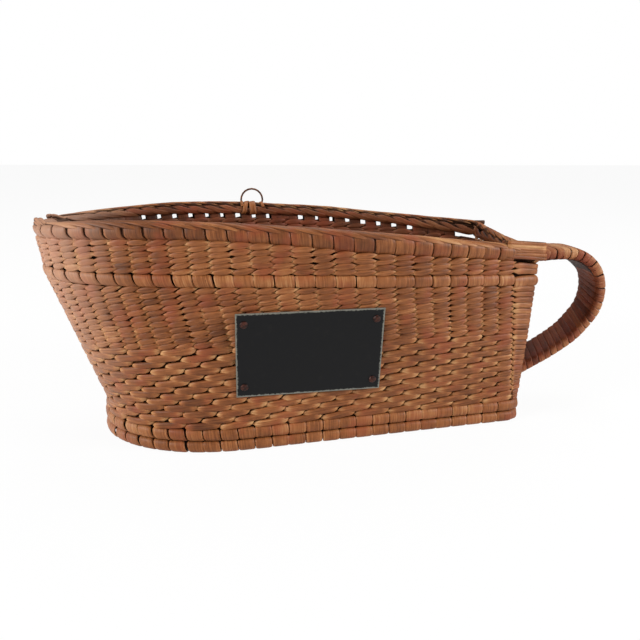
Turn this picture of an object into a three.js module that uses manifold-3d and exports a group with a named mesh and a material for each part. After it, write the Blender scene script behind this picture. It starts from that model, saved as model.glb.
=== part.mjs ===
// Woven cane pouring basket for one bottle of wine, lying on its side with the neck over the lip.
// Millimetres. +X points at the handle, -Y at the side with the name plate, +Z up.
// The basket stands on the flat underside of its lower foot roll, at Z = 0.

import * as THREE from 'three';
import { mergeVertices } from 'three/addons/utils/BufferGeometryUtils.js';
import Module from 'manifold-3d';

const wasm = await Module();
wasm.setup();

// Driving sizes of the body. X runs from the outer face of the back wall, at 0, to the nose.
const RIM_LENGTH = 296;
const RIM_WIDEST_FROM_BACK = 120;
const RIM_HALF_WIDTH = 63;
const BACK_TAPER = 19;
const NOSE_OVERHANG = 31;
const NOSE_ROUND_LENGTH = 86;
const SIDE_OVERHANG = 10.3;
const BACK_CORNER_OVERHANG = 5.2;
const CORNER_RADIUS = 7;
const CORNER_LEAST_RADIUS = 0.5;

// The height of the rim's seat, which is the top of the open row under the rim, at the back, and
// how far it rises towards the nose. The middle band lies at a depth under the seat.
const RIM_SEAT_BACK = 107.5;
const RIM_RISE_MIDDLE = 15.3;
const RIM_RISE_NOSE = 15.7;
const MIDDLE_BAND_DEPTH_BACK = 15.5;
const MIDDLE_BAND_DEPTH_MIDDLE = 22.8;
const MIDDLE_BAND_DEPTH_NOSE = 23.2;

// The woven wall: a skin of strands outside, stakes behind it.
const WALL = 2.2;
const CLEARANCE = 0.3;
const STAKE_CLEARANCE = 0.35;
const STAKE_RADIUS = 1.3;
const OPEN_ROW_HEIGHT = 1.8;

// The wrapped hoops: two foot rolls, one middle band, and the rim.
const FOOT_ROLL_HEIGHT = 7.35;
const FOOT_BULGE = 1.5;
const MIDDLE_BAND_HEIGHT = 7.4;
const MIDDLE_BAND_BULGE = 1.3;
const RIM_BAND_HEIGHT = 6;
const RIM_BAND_BULGE = 1.5;
const RIM_INNER_THICKNESS = 2;
const RIM_TOP_HEIGHT = 2.8;
const LIP_HALF_WIDTH = 18;
const EAR_RISE = 1.4;
const EAR_LENGTH = 7;
const CORNER_RISE = 2;

// The base.
const BASE_STICK_HEIGHT = 3.5;
const BASE_PANEL_THICKNESS = 3.5;
const STAKE_BEND_RADIUS = 2;

// The stakes' bays. Bay 1 starts at the first column of the weave, and the strands between it and
// the corner post fill a gap that is wide at the rim and narrow at the base.
const SIDE_STAKES = 27;
const PAIRED_STAKES = 24;
const BACK_STAKES = 7;

// The handle.
const HANDLE_REACH = 70.5;
const HANDLE_TOP = 104.2;
const HANDLE_FOOT = 19.5;
const HANDLE_CORE_WIDTH = 21.4;
const HANDLE_CORE_THICKNESS = 4;
const HANDLE_WRAP_THICKNESS = 0.8;
const HANDLE_WRAP_CLEARANCE = 0.45;
const HANDLE_WRAP_TURNS = 21;
const HANDLE_WRAP_END = 4;

// The name plate and its four rivets.
const PLATE_HEIGHT = 52;
const PLATE_THICKNESS = 0.8;
const RIVET_BAYS = { back: 9, front: 16, rowStep: 1 };
const RIVET_INSET = 4.6;
const RIVET_INSET_HIGH = 6.4;
const RIVET_RADIUS = 1.3;
const RIVET_HOLE_RADIUS = 1.65;
const RIVET_HEAD_RADIUS = 2.3;
const RIVET_HEAD_HEIGHT = 1.2;
const RIVET_CLENCH_RADIUS = 1.9;
const RIVET_CLENCH_THICKNESS = 0.8;

// The hanging ring behind the far rim, and the skein that lashes it there.
const RING_BAY = 14;
const RING_RADIUS = 7.6;
const RING_WIRE_RADIUS = 0.65;
const RING_TOP_ABOVE_SEAT = 19.5;
const RING_CLEARANCE = 0.6;
const RING_PLAY = 0.65;
const LASHING_WIDTH = 5;
const LASHING_THICKNESS = 0.8;

// Shares: the curves' handles as shares of the sizes they follow, the fillers at the back corner
// and the drift of the stakes along the side as shares of a bay, and the wall's flare.
const FIRST_STAKE_SHARE = 1.5;
const RIM_FILLER_SHARE = 0.65;
const BASE_FILLER_SHARE = -0.42;
const RIM_DRIFT_SHARE = 0.42;
const BASE_DRIFT_SHARE = 0.32;
const RIM_CURVE_SHARES = { slope: 0.18, back: 0.375, front: 0.403, nose: 0.857 };
const BASE_CURVE_SHARES = { front: 0.174, nose: 0.655 };
const MIDDLE_FLARE_SHARE = 0.88;
const WALL_ZONE_SHARE = 0.56;
const PLATE_CENTRE_SHARE = 0.5;
const HANDLE_LINE_SHARES = [
  [0, 1], [0.3, 1], [0.53, 0.997], [0.69, 0.972], [0.83, 0.907], [0.945, 0.81], [1, 0.68],
  [0.966, 0.545], [0.855, 0.42], [0.735, 0.32], [0.5, 0.195], [0.335, 0.125], [0.17, 0.058], [0, 0],
];

const cane = (color, roughness) => new THREE.MeshStandardMaterial({ color, roughness, metalness: 0 });
const MATERIALS = {
  skein: cane(0xa8704a, 0.62),
  wrapped: cane(0xa5663f, 0.58),
  stake: cane(0x8a5a38, 0.7),
  handle: cane(0x94582f, 0.5),
  enamel: new THREE.MeshStandardMaterial({ color: 0x14161a, roughness: 0.35, metalness: 0.1 }),
  copper: new THREE.MeshStandardMaterial({ color: 0x6a3a26, roughness: 0.45, metalness: 0.8 }),
  wire: new THREE.MeshStandardMaterial({ color: 0x5a3d2b, roughness: 0.5, metalness: 0.6 }),
};

const rimHalfWidthBack = RIM_HALF_WIDTH - BACK_TAPER;
const baseLength = RIM_LENGTH - NOSE_OVERHANG;
const baseStraightLength = baseLength - NOSE_ROUND_LENGTH;
const baseHalfWidth = RIM_HALF_WIDTH - SIDE_OVERHANG;
const baseHalfWidthBack = rimHalfWidthBack - BACK_CORNER_OVERHANG;

const group = new THREE.Group();

function addPiece(name, geometry, material) {
  const mesh = new THREE.Mesh(geometry, material);
  mesh.name = name;
  group.add(mesh);
  return mesh;
}

// Plan outlines of one side, from the back corner to the nose, with Y measured outwards.
function planCurve(points) {
  const vectors = points.map(([x, y]) => new THREE.Vector2(x, y));
  return new THREE.CubicBezierCurve(...vectors);
}

const rimOutline = new THREE.CurvePath();
rimOutline.add(planCurve([
  [0, rimHalfWidthBack],
  [
    -RIM_CURVE_SHARES.back * RIM_WIDEST_FROM_BACK,
    rimHalfWidthBack + RIM_CURVE_SHARES.back * RIM_WIDEST_FROM_BACK * RIM_CURVE_SHARES.slope,
  ],
  [-(1 - RIM_CURVE_SHARES.back) * RIM_WIDEST_FROM_BACK, RIM_HALF_WIDTH],
  [-RIM_WIDEST_FROM_BACK, RIM_HALF_WIDTH],
]));
rimOutline.add(planCurve([
  [-RIM_WIDEST_FROM_BACK, RIM_HALF_WIDTH],
  [
    -RIM_WIDEST_FROM_BACK - RIM_CURVE_SHARES.front * (RIM_LENGTH - RIM_WIDEST_FROM_BACK),
    RIM_HALF_WIDTH,
  ],
  [-RIM_LENGTH, RIM_CURVE_SHARES.nose * RIM_HALF_WIDTH],
  [-RIM_LENGTH, 0],
]));

const baseTaper = (baseHalfWidth - baseHalfWidthBack) / baseStraightLength;
const baseOutline = new THREE.CurvePath();
baseOutline.add(new THREE.LineCurve(
  new THREE.Vector2(0, baseHalfWidthBack),
  new THREE.Vector2(-baseStraightLength, baseHalfWidth),
));
baseOutline.add(planCurve([
  [-baseStraightLength, baseHalfWidth],
  [
    -baseStraightLength - BASE_CURVE_SHARES.front * baseLength,
    baseHalfWidth + BASE_CURVE_SHARES.front * baseLength * baseTaper,
  ],
  [-baseLength, BASE_CURVE_SHARES.nose * baseHalfWidth],
  [-baseLength, 0],
]));

// Heights that rise from the back to the nose along a parabola.
function rise(back, middle, nose) {
  return (x) => {
    const share = -x / RIM_LENGTH;
    return back * (2 * share - 1) * (share - 1) + middle * 4 * share * (1 - share)
      + nose * share * (2 * share - 1);
  };
}
const rimSeatMiddle = RIM_SEAT_BACK + RIM_RISE_MIDDLE;
const rimSeatNose = RIM_SEAT_BACK + RIM_RISE_NOSE;
const rimSeat = rise(RIM_SEAT_BACK, rimSeatMiddle, rimSeatNose);
const middleBand = rise(
  RIM_SEAT_BACK - MIDDLE_BAND_DEPTH_BACK,
  rimSeatMiddle - MIDDLE_BAND_DEPTH_MIDDLE,
  rimSeatNose - MIDDLE_BAND_DEPTH_NOSE,
);
const footTop = 2 * (FOOT_ROLL_HEIGHT + CLEARANCE / 2);

// A level is a height over the rim point that a station of the wall runs up to.
const constant = (height) => () => height;
const levels = {
  floor: constant(0),
  footSplit: constant(FOOT_ROLL_HEIGHT),
  footTop: constant(footTop),
  zone: (x) => WALL_ZONE_SHARE * rimSeat(x),
  bandBottom: middleBand,
  bandTop: (x) => middleBand(x) + MIDDLE_BAND_HEIGHT,
  wallTop: (x) => rimSeat(x) - OPEN_ROW_HEIGHT,
  seat: rimSeat,
};

// How far the wall has flared from the base outline to the rim outline at a height.
function flare(rimX, z) {
  const knee = middleBand(rimX);
  if (z <= footTop) return 0;
  if (z <= knee) return MIDDLE_FLARE_SHARE * (z - footTop) / (knee - footTop);
  return MIDDLE_FLARE_SHARE + (1 - MIDDLE_FLARE_SHARE) * (z - knee) / (rimSeat(rimX) - knee);
}

// Share of an outline's length that a bay lies at.
const noseBay = SIDE_STAKES + FIRST_STAKE_SHARE;
function bayShare(bay, filler, drift) {
  const hump = Math.sin(Math.PI * bay / noseBay) ** 2;
  return (bay + filler + drift * hump) / (noseBay + filler);
}
const rimShare = (bay) => bayShare(bay, RIM_FILLER_SHARE, RIM_DRIFT_SHARE);
const baseShare = (bay) => bayShare(bay, BASE_FILLER_SHARE, BASE_DRIFT_SHARE);
const within = (share) => Math.min(1, Math.max(0, share));

// A point of the wall's outer face on the far side: bay along the wall, height, and offset outwards.
function outlinePoint(bay, height) {
  const rim = rimOutline.getPointAt(within(rimShare(bay)));
  const base = baseOutline.getPointAt(within(baseShare(bay)));
  const z = height(rim.x);
  return { point: base.clone().lerp(rim, flare(rim.x, z)), z };
}

const BAY_STEP_SHARE = 0.02;
function sidePoint(bay, height, offset, side) {
  const here = outlinePoint(bay, height);
  const before = outlinePoint(bay - BAY_STEP_SHARE, height).point;
  const after = outlinePoint(Math.min(noseBay, bay + BAY_STEP_SHARE), height).point;
  const along = bay >= noseBay ? new THREE.Vector2(0, -1) : after.sub(before).normalize();
  const x = here.point.x + along.y * offset;
  const y = here.point.y - along.x * offset;
  return new THREE.Vector3(x, side * y, here.z);
}

// Half-width of the back wall at a level.
function backHalfWidth(z) {
  return baseHalfWidthBack + (rimHalfWidthBack - baseHalfWidthBack) * flare(0, z);
}

function cornerPoint(height, offset, side, turn) {
  const z = height(0);
  const reach = Math.max(CORNER_RADIUS + offset, CORNER_LEAST_RADIUS);
  const x = -CORNER_RADIUS + reach * Math.cos(turn);
  const y = backHalfWidth(z) - CORNER_RADIUS + reach * Math.sin(turn);
  return new THREE.Vector3(x, side * y, z);
}

// Stations of a hoop, in order round the basket: near side, nose, far side, back wall.
const STAKE_BAYS = Array.from({ length: SIDE_STAKES }, (_, k) => k + FIRST_STAKE_SHARE);
const CORNER_TURNS = [Math.PI / 2, Math.PI / 4, 0];
const NEAR = -1;
const FAR = 1;
const stations = [
  ...CORNER_TURNS.toReversed().map((turn) => (h, o) => cornerPoint(h, o, NEAR, turn)),
  ...STAKE_BAYS.map((bay) => (h, o) => sidePoint(bay, h, o, NEAR)),
  (h, o) => sidePoint(noseBay, h, o, FAR),
  ...STAKE_BAYS.toReversed().map((bay) => (h, o) => sidePoint(bay, h, o, FAR)),
  ...CORNER_TURNS.map((turn) => (h, o) => cornerPoint(h, o, FAR, turn)),
];

// A solid swept through a list of sections, each a list of points in the same order.
function sweep(sections, closed) {
  const size = sections[0].length;
  const positions = sections.flat().flatMap((point) => [point.x, point.y, point.z]);
  const index = [];
  const last = closed ? sections.length : sections.length - 1;
  for (let k = 0; k < last; k += 1) {
    const next = (k + 1) % sections.length;
    for (let j = 0; j < size; j += 1) {
      const side = (j + 1) % size;
      const corners = [k * size + j, next * size + j, next * size + side, k * size + side];
      index.push(corners[0], corners[1], corners[2], corners[0], corners[2], corners[3]);
    }
  }
  if (!closed) {
    const end = (sections.length - 1) * size;
    for (let j = 1; j < size - 1; j += 1) {
      index.push(0, j, j + 1, end, end + j + 1, end + j);
    }
  }
  const geometry = new THREE.BufferGeometry();
  geometry.setAttribute('position', new THREE.Float32BufferAttribute(positions, 3));
  geometry.setIndex(index);
  return outward(geometry);
}

// Turns the faces over if the solid came out inside out.
function outward(geometry) {
  const position = geometry.getAttribute('position');
  const index = geometry.getIndex().array;
  const [a, b, c] = [new THREE.Vector3(), new THREE.Vector3(), new THREE.Vector3()];
  let volume = 0;
  for (let k = 0; k < index.length; k += 3) {
    a.fromBufferAttribute(position, index[k]);
    b.fromBufferAttribute(position, index[k + 1]);
    c.fromBufferAttribute(position, index[k + 2]);
    volume += a.dot(b.cross(c));
  }
  if (volume < 0) geometry.setIndex(Array.from(index).reverse());
  geometry.computeVertexNormals();
  return geometry;
}

// A hoop's profile is a list of [offset outwards, level], going round the section.
function hoop(profile, along = stations) {
  return along.map((station) => profile.map(([offset, level]) => station(level, offset)));
}

const raised = (level, height) => (x) => level(x) + height;

function skinProfile(bottom, top) {
  return [
    [0, raised(bottom, CLEARANCE)],
    [0, top],
    [-WALL, top],
    [-WALL, raised(bottom, CLEARANCE)],
  ];
}

// A wrapped hoop bulges out of the wall between two rounded edges.
const ROUND_SHARE = 0.24;
const EDGE_SHARE = 0.4;
function wrappedProfile(bottom, height, bulge, inner) {
  return [
    [-inner, bottom],
    [EDGE_SHARE * bulge, bottom],
    [bulge, raised(bottom, ROUND_SHARE * height)],
    [bulge, raised(bottom, (1 - ROUND_SHARE) * height)],
    [EDGE_SHARE * bulge, raised(bottom, height)],
    [-inner, raised(bottom, height)],
  ];
}

function toManifold(geometry) {
  const bare = geometry.clone();
  bare.deleteAttribute('normal');
  bare.deleteAttribute('uv');
  const merged = mergeVertices(bare);
  return new wasm.Manifold(new wasm.Mesh({
    numProp: 3,
    vertProperties: new Float32Array(merged.getAttribute('position').array),
    triVerts: new Uint32Array(merged.getIndex().array),
  }));
}

function fromManifold(solid) {
  const mesh = solid.getMesh();
  const geometry = new THREE.BufferGeometry();
  geometry.setAttribute('position', new THREE.BufferAttribute(mesh.vertProperties, 3));
  geometry.setIndex(new THREE.BufferAttribute(mesh.triVerts, 1));
  geometry.computeVertexNormals();
  return geometry;
}

function drilled(geometry, drills) {
  let solid = toManifold(geometry);
  drills.forEach((drill) => {
    solid = solid.subtract(toManifold(drill));
  });
  return fromManifold(solid);
}

// The plate lies flat against the near wall, and its rivets go through between the stakes.
const plateHeight = PLATE_CENTRE_SHARE * rimSeatMiddle;
const rivetSpacingHigh = PLATE_HEIGHT - 2 * RIVET_INSET_HIGH;
const wallAt = (bay, up) => sidePoint(bay, constant(plateHeight + up), 0, NEAR);
const plateBay = (RIVET_BAYS.back + RIVET_BAYS.front + RIVET_BAYS.rowStep) / 2;
const plateFoot = wallAt(plateBay, 0);
const plateAlong = wallAt(RIVET_BAYS.back, 0).sub(wallAt(RIVET_BAYS.front, 0)).normalize();
const plateUp = wallAt(plateBay, PLATE_HEIGHT / 2).sub(wallAt(plateBay, -PLATE_HEIGHT / 2));
const plateOut = plateAlong.clone().cross(plateUp).normalize();
const plateSquareUp = plateOut.clone().cross(plateAlong).normalize();

// The stakes lean, so the two rivets of a column go through different gaps: the lower one through
// the next gap towards the nose. The column stands halfway between the middles of the two gaps.
function rivetColumn(bay) {
  const upper = wallAt(bay, rivetSpacingHigh / 2);
  const lower = wallAt(bay + RIVET_BAYS.rowStep, -rivetSpacingHigh / 2);
  return upper.add(lower).divideScalar(2).sub(plateFoot).dot(plateAlong);
}
const rivetBack = rivetColumn(RIVET_BAYS.back);
const rivetFront = rivetColumn(RIVET_BAYS.front);
const plateMiddle = (rivetBack + rivetFront) / 2;
const plateLength = rivetBack - rivetFront + 2 * RIVET_INSET;
const baysPerLength = (RIVET_BAYS.front - RIVET_BAYS.back) / (rivetBack - rivetFront);
const bayBehind = (along) => plateBay + (plateMiddle - along) * baysPerLength;

// The wall bulges a little behind the plate, so the plate stands clear of the highest point.
const PROBE_SHARES = [-1, -0.75, -0.5, -0.25, 0, 0.25, 0.5, 0.75, 1];
const bulges = PROBE_SHARES.flatMap((a) => PROBE_SHARES.map((b) => {
  const point = wallAt(bayBehind(plateMiddle + a * plateLength / 2), b * PLATE_HEIGHT / 2);
  return point.sub(plateFoot).dot(plateOut);
}));
const plateStandoff = Math.max(...bulges) + CLEARANCE;
const plateBack = plateFoot.clone().addScaledVector(plateOut, plateStandoff);
const plateMatrix = new THREE.Matrix4().makeBasis(plateAlong, plateSquareUp, plateOut);
plateMatrix.setPosition(plateBack);

const rivetPlaces = [
  ['top_back', rivetBack, 1],
  ['top_front', rivetFront, 1],
  ['bottom_back', rivetBack, -1],
  ['bottom_front', rivetFront, -1],
].map(([name, along, row]) => {
  const flat = new THREE.Vector3(along, row * rivetSpacingHigh / 2, 0);
  const wall = wallAt(bayBehind(along), flat.y).sub(plateFoot).dot(plateOut);
  return { name, flat, depth: plateStandoff - wall + WALL };
});

const HOLE_SIDES = 12;
function rodAt(flat, radius, from, to) {
  const rod = new THREE.CylinderGeometry(radius, radius, to - from, HOLE_SIDES);
  rod.rotateX(Math.PI / 2);
  rod.translate(flat.x, flat.y, (from + to) / 2);
  return rod.applyMatrix4(plateMatrix);
}

const HOLE_OVERRUN = 4;
const rivetHoles = rivetPlaces.map(({ flat, depth }) => (
  rodAt(flat, RIVET_HOLE_RADIUS, -depth - HOLE_OVERRUN, PLATE_THICKNESS + HOLE_OVERRUN)
));
const [topBack, topFront, bottomBack, bottomFront] = rivetHoles;

// Foot, walls, bands and rim.
const rimInnerFace = WALL + 2 * STAKE_CLEARANCE + 2 * STAKE_RADIUS;
const footLower = sweep(hoop(wrappedProfile(levels.floor, FOOT_ROLL_HEIGHT, FOOT_BULGE, WALL)), true);
addPiece('foot_lower_roll', footLower, MATERIALS.wrapped);
const footUpperBottom = constant(FOOT_ROLL_HEIGHT + CLEARANCE);
const footUpper = sweep(hoop(
  wrappedProfile(footUpperBottom, FOOT_ROLL_HEIGHT - CLEARANCE / 2, FOOT_BULGE, WALL),
), true);
addPiece('foot_upper_roll', footUpper, MATERIALS.wrapped);

const wallLower = sweep(hoop(skinProfile(levels.footTop, levels.zone)), true);
addPiece('wall_lower', drilled(wallLower, [bottomBack, bottomFront]), MATERIALS.skein);
const wallMiddle = sweep(hoop(skinProfile(levels.zone, levels.bandBottom)), true);
addPiece('wall_middle', drilled(wallMiddle, [topBack, topFront]), MATERIALS.skein);
const bandProfile = wrappedProfile(
  raised(levels.bandBottom, CLEARANCE),
  MIDDLE_BAND_HEIGHT - CLEARANCE,
  MIDDLE_BAND_BULGE,
  WALL,
);
addPiece('middle_band', sweep(hoop(bandProfile), true), MATERIALS.wrapped);
addPiece('wall_upper', sweep(hoop(skinProfile(levels.bandTop, levels.wallTop)), true), MATERIALS.skein);

const rimProfile = wrappedProfile(levels.seat, RIM_BAND_HEIGHT, RIM_BAND_BULGE, WALL);
addPiece('rim_band', sweep(hoop(rimProfile), true), MATERIALS.wrapped);
const rimInnerProfile = [
  [-rimInnerFace, levels.seat],
  [-rimInnerFace, raised(levels.seat, RIM_BAND_HEIGHT)],
  [-rimInnerFace - RIM_INNER_THICKNESS, raised(levels.seat, RIM_BAND_HEIGHT)],
  [-rimInnerFace - RIM_INNER_THICKNESS, levels.seat],
];
addPiece('rim_inner_band', sweep(hoop(rimInnerProfile), true), MATERIALS.wrapped);

// The rim's top roll runs from one ear of the lip round the back to the other ear. It is knobbed
// at the two back corners.
function earBay(beyond) {
  let bay = noseBay;
  const halfWidth = (b) => sidePoint(b, levels.seat, 0, FAR).y;
  while (halfWidth(bay) < LIP_HALF_WIDTH + beyond) bay -= BAY_STEP_SHARE;
  return bay;
}
const earRoot = earBay(EAR_LENGTH);
const earTip = earBay(0);
const rollBays = [...STAKE_BAYS.filter((bay) => bay < earRoot), earRoot, earTip];
const earLift = (bay) => (bay >= earRoot ? EAR_RISE : 0);
const rollStations = [
  ...rollBays.toReversed().map((bay) => [(h, o) => sidePoint(bay, h, o, FAR), earLift(bay)]),
  ...CORNER_TURNS.map((turn) => [(h, o) => cornerPoint(h, o, FAR, turn), CORNER_RISE]),
  [(h, o) => new THREE.Vector3(o, 0, h(0)), 0],
  ...CORNER_TURNS.toReversed().map((turn) => [(h, o) => cornerPoint(h, o, NEAR, turn), CORNER_RISE]),
  ...rollBays.map((bay) => [(h, o) => sidePoint(bay, h, o, NEAR), earLift(bay)]),
];
const rollInner = rimInnerFace + RIM_INNER_THICKNESS;
const ROLL_SHOULDER_SHARE = 0.5;
const ROLL_CROWN_SHARE = 0.36;
const rollSections = rollStations.map(([station, lift]) => {
  const bottom = raised(levels.seat, RIM_BAND_HEIGHT + CLEARANCE);
  const shoulder = raised(bottom, ROLL_SHOULDER_SHARE * RIM_TOP_HEIGHT);
  const top = raised(bottom, RIM_TOP_HEIGHT + lift);
  const crown = ROLL_CROWN_SHARE * (rollInner + RIM_BAND_BULGE);
  return [
    [-rollInner, bottom], [RIM_BAND_BULGE * EDGE_SHARE, bottom], [RIM_BAND_BULGE, shoulder],
    [RIM_BAND_BULGE - crown, top], [-rollInner + crown, top], [-rollInner, shoulder],
  ].map(([offset, level]) => station(level, offset));
});
addPiece('rim_top_roll', sweep(rollSections, false), MATERIALS.wrapped);

// The base panel rests on the sticks that cross the bottom.
const stakeOffset = -(WALL + STAKE_CLEARANCE + STAKE_RADIUS);
const panelInset = stakeOffset - STAKE_BEND_RADIUS;
const panelShape = new THREE.Shape(stations.map((station) => {
  const point = station(levels.floor, panelInset);
  return new THREE.Vector2(point.x, point.y);
}));
const basePanel = new THREE.ExtrudeGeometry(panelShape, {
  depth: BASE_PANEL_THICKNESS, bevelEnabled: false,
});
const panelBottom = BASE_STICK_HEIGHT + STAKE_RADIUS + CLEARANCE;
basePanel.translate(0, 0, panelBottom);
addPiece('base_panel', basePanel, MATERIALS.skein);

// A round rod through a list of points.
const ROD_SIDES = 5;
function rod(points, radius, sides = ROD_SIDES, closed = false) {
  const count = points.length;
  let normal = null;
  const sections = points.map((point, k) => {
    const before = points[closed ? (k + count - 1) % count : Math.max(0, k - 1)];
    const after = points[closed ? (k + 1) % count : Math.min(count - 1, k + 1)];
    const along = after.clone().sub(before).normalize();
    const start = Math.abs(along.z) < Math.SQRT1_2 ? new THREE.Vector3(0, 0, 1) : new THREE.Vector3(1, 0, 0);
    normal = (normal ?? start).clone().addScaledVector(along, -(normal ?? start).dot(along)).normalize();
    const other = along.clone().cross(normal);
    return Array.from({ length: sides }, (_, j) => {
      const turn = 2 * Math.PI * j / sides;
      return point.clone()
        .addScaledVector(normal, radius * Math.cos(turn))
        .addScaledVector(other, radius * Math.sin(turn));
    });
  });
  return sweep(sections, closed);
}

// Most stakes are one rod with their partner on the other side: up the near wall, under the base
// panel and up the far wall.
const stakeTop = raised(levels.seat, RIM_BAND_HEIGHT);
const BEND_TURNS = [Math.PI / 2, Math.PI / 4, 0];
const STAKE_BREAKS = [stakeTop, levels.bandBottom, levels.footTop];
function stakeLeg(bay, side) {
  const leg = STAKE_BREAKS.map((level) => sidePoint(bay, level, stakeOffset, side));
  const foot = sidePoint(bay, levels.floor, stakeOffset, side);
  const middle = new THREE.Vector3(foot.x, 0, BASE_STICK_HEIGHT);
  const inwards = middle.clone().sub(new THREE.Vector3(foot.x, foot.y, BASE_STICK_HEIGHT)).normalize();
  const bend = Math.min(STAKE_BEND_RADIUS, Math.abs(foot.y) / 2);
  BEND_TURNS.toReversed().forEach((turn) => {
    const point = new THREE.Vector3(foot.x, foot.y, BASE_STICK_HEIGHT + bend);
    point.addScaledVector(inwards, bend * (1 - Math.cos(turn)));
    point.z -= bend * Math.sin(turn);
    leg.push(point);
  });
  return leg;
}
STAKE_BAYS.slice(0, PAIRED_STAKES).forEach((bay, index) => {
  const path = [...stakeLeg(bay, NEAR), ...stakeLeg(bay, FAR).toReversed()];
  const name = `stake_pair_${String(index + 1).padStart(2, '0')}`;
  addPiece(name, rod(path, STAKE_RADIUS), MATERIALS.stake);
});

// The stakes round the nose and in the back wall start beside the base panel.
const stakeFoot = constant(panelBottom);
const noseBays = STAKE_BAYS.slice(PAIRED_STAKES);
const noseStakes = [
  ...noseBays.map((bay) => [bay, NEAR]),
  [noseBay, FAR],
  ...noseBays.toReversed().map((bay) => [bay, FAR]),
];
noseStakes.forEach(([bay, side], index) => {
  const path = [...STAKE_BREAKS, stakeFoot].map((level) => sidePoint(bay, level, stakeOffset, side));
  addPiece(`nose_stake_${index + 1}`, rod(path, STAKE_RADIUS), MATERIALS.stake);
});

for (let k = 0; k < BACK_STAKES; k += 1) {
  const share = (k + 1) / (BACK_STAKES + 1) * 2 - 1;
  const path = [...STAKE_BREAKS, stakeFoot].map((level) => {
    const z = level(0);
    return new THREE.Vector3(stakeOffset, share * backHalfWidth(z), z);
  });
  addPiece(`back_stake_${k + 1}`, rod(path, STAKE_RADIUS), MATERIALS.stake);
}

[['near', NEAR], ['far', FAR]].forEach(([name, side]) => {
  const path = [...STAKE_BREAKS, stakeFoot].map((level) => (
    cornerPoint(level, stakeOffset, side, Math.PI / 4)
  ));
  addPiece(`corner_post_${name}`, rod(path, STAKE_RADIUS), MATERIALS.stake);
});

// The handle: a flat bent core with one long skein wound round it.
const handleLine = new THREE.CatmullRomCurve3(HANDLE_LINE_SHARES.map(([x, z]) => {
  const reach = HANDLE_REACH - HANDLE_CORE_THICKNESS / 2 - HANDLE_WRAP_CLEARANCE - HANDLE_WRAP_THICKNESS;
  return new THREE.Vector3(x * reach, 0, HANDLE_FOOT + z * (HANDLE_TOP - HANDLE_FOOT));
}), false, 'centripetal');
const handleLength = handleLine.getLength();

// A point at a distance along the handle, moved out of its plane of bending and sideways.
function handlePoint(distance, out, across) {
  const share = within(distance / handleLength);
  const along = handleLine.getTangentAt(share);
  const outwards = new THREE.Vector3(-along.z, 0, along.x);
  return handleLine.getPointAt(share).addScaledVector(outwards, out).add(new THREE.Vector3(0, across, 0));
}

const HANDLE_STEPS = 36;
const handleSections = Array.from({ length: HANDLE_STEPS + 1 }, (_, k) => {
  const distance = handleLength * k / HANDLE_STEPS;
  const half = HANDLE_CORE_THICKNESS / 2;
  const side = HANDLE_CORE_WIDTH / 2;
  const corners = [[half, side], [half, -side], [-half, -side], [-half, side]];
  const section = corners.map(([out, across]) => handlePoint(distance, out, across));
  const atWall = k === 0 || k === HANDLE_STEPS;
  if (atWall) {
    section.forEach((point) => {
      point.x = CLEARANCE;
    });
  }
  return section;
});
addPiece('handle_core', sweep(handleSections, false), MATERIALS.handle);

const WRAP_STEPS = 8;
const WRAP_COVER_SHARE = 0.9;
const wrapPitch = (handleLength - 2 * HANDLE_WRAP_END) / (HANDLE_WRAP_TURNS + WRAP_COVER_SHARE);
const wrapInner = [
  HANDLE_CORE_THICKNESS / 2 + HANDLE_WRAP_CLEARANCE,
  HANDLE_CORE_WIDTH / 2 + HANDLE_WRAP_CLEARANCE,
];
// One turn goes round the core's four sides, by its corners and the middles of its sides.
const WRAP_ROUND = [[1, 0], [1, 1], [0, 1], [-1, 1], [-1, 0], [-1, -1], [0, -1], [1, -1]];
const wrapSections = [];
for (let k = 0; k <= HANDLE_WRAP_TURNS * WRAP_STEPS; k += 1) {
  const [out, across] = WRAP_ROUND[k % WRAP_STEPS];
  const half = wrapPitch * WRAP_COVER_SHARE / 2;
  const middle = HANDLE_WRAP_END + half + wrapPitch * k / WRAP_STEPS;
  const corner = (distance, thickness) => handlePoint(
    distance,
    out * (wrapInner[0] + thickness),
    across * (wrapInner[1] + thickness),
  );
  wrapSections.push([
    corner(middle - half, 0),
    corner(middle + half, 0),
    corner(middle + half, HANDLE_WRAP_THICKNESS),
    corner(middle - half, HANDLE_WRAP_THICKNESS),
  ]);
}
addPiece('handle_wrap', sweep(wrapSections, false), MATERIALS.handle);

// The name plate and its rivets.
const plateBlank = new THREE.BoxGeometry(plateLength, PLATE_HEIGHT, PLATE_THICKNESS);
plateBlank.translate(plateMiddle, 0, PLATE_THICKNESS / 2);
plateBlank.applyMatrix4(plateMatrix);
addPiece('name_plate', drilled(plateBlank, rivetHoles), MATERIALS.enamel);

rivetPlaces.forEach(({ name, flat, depth }) => {
  const front = PLATE_THICKNESS + CLEARANCE;
  const back = -depth - STAKE_CLEARANCE;
  const profile = [
    [0, back - RIVET_CLENCH_THICKNESS],
    [RIVET_CLENCH_RADIUS, back - RIVET_CLENCH_THICKNESS],
    [RIVET_CLENCH_RADIUS, back],
    [RIVET_RADIUS, back],
    [RIVET_RADIUS, front],
    [RIVET_HEAD_RADIUS, front],
    [RIVET_HEAD_RADIUS * Math.cos(Math.PI / 5), front + RIVET_HEAD_HEIGHT * Math.sin(Math.PI / 5)],
    [RIVET_HEAD_RADIUS * Math.cos(Math.PI / 3), front + RIVET_HEAD_HEIGHT * Math.sin(Math.PI / 3)],
    [0, front + RIVET_HEAD_HEIGHT],
  ].map(([radius, along]) => new THREE.Vector2(radius, along));
  const rivet = new THREE.LatheGeometry(profile, 10);
  rivet.rotateX(Math.PI / 2);
  rivet.translate(flat.x, flat.y, 0);
  rivet.applyMatrix4(plateMatrix);
  addPiece(`rivet_${name}`, rivet, MATERIALS.copper);
});

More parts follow.
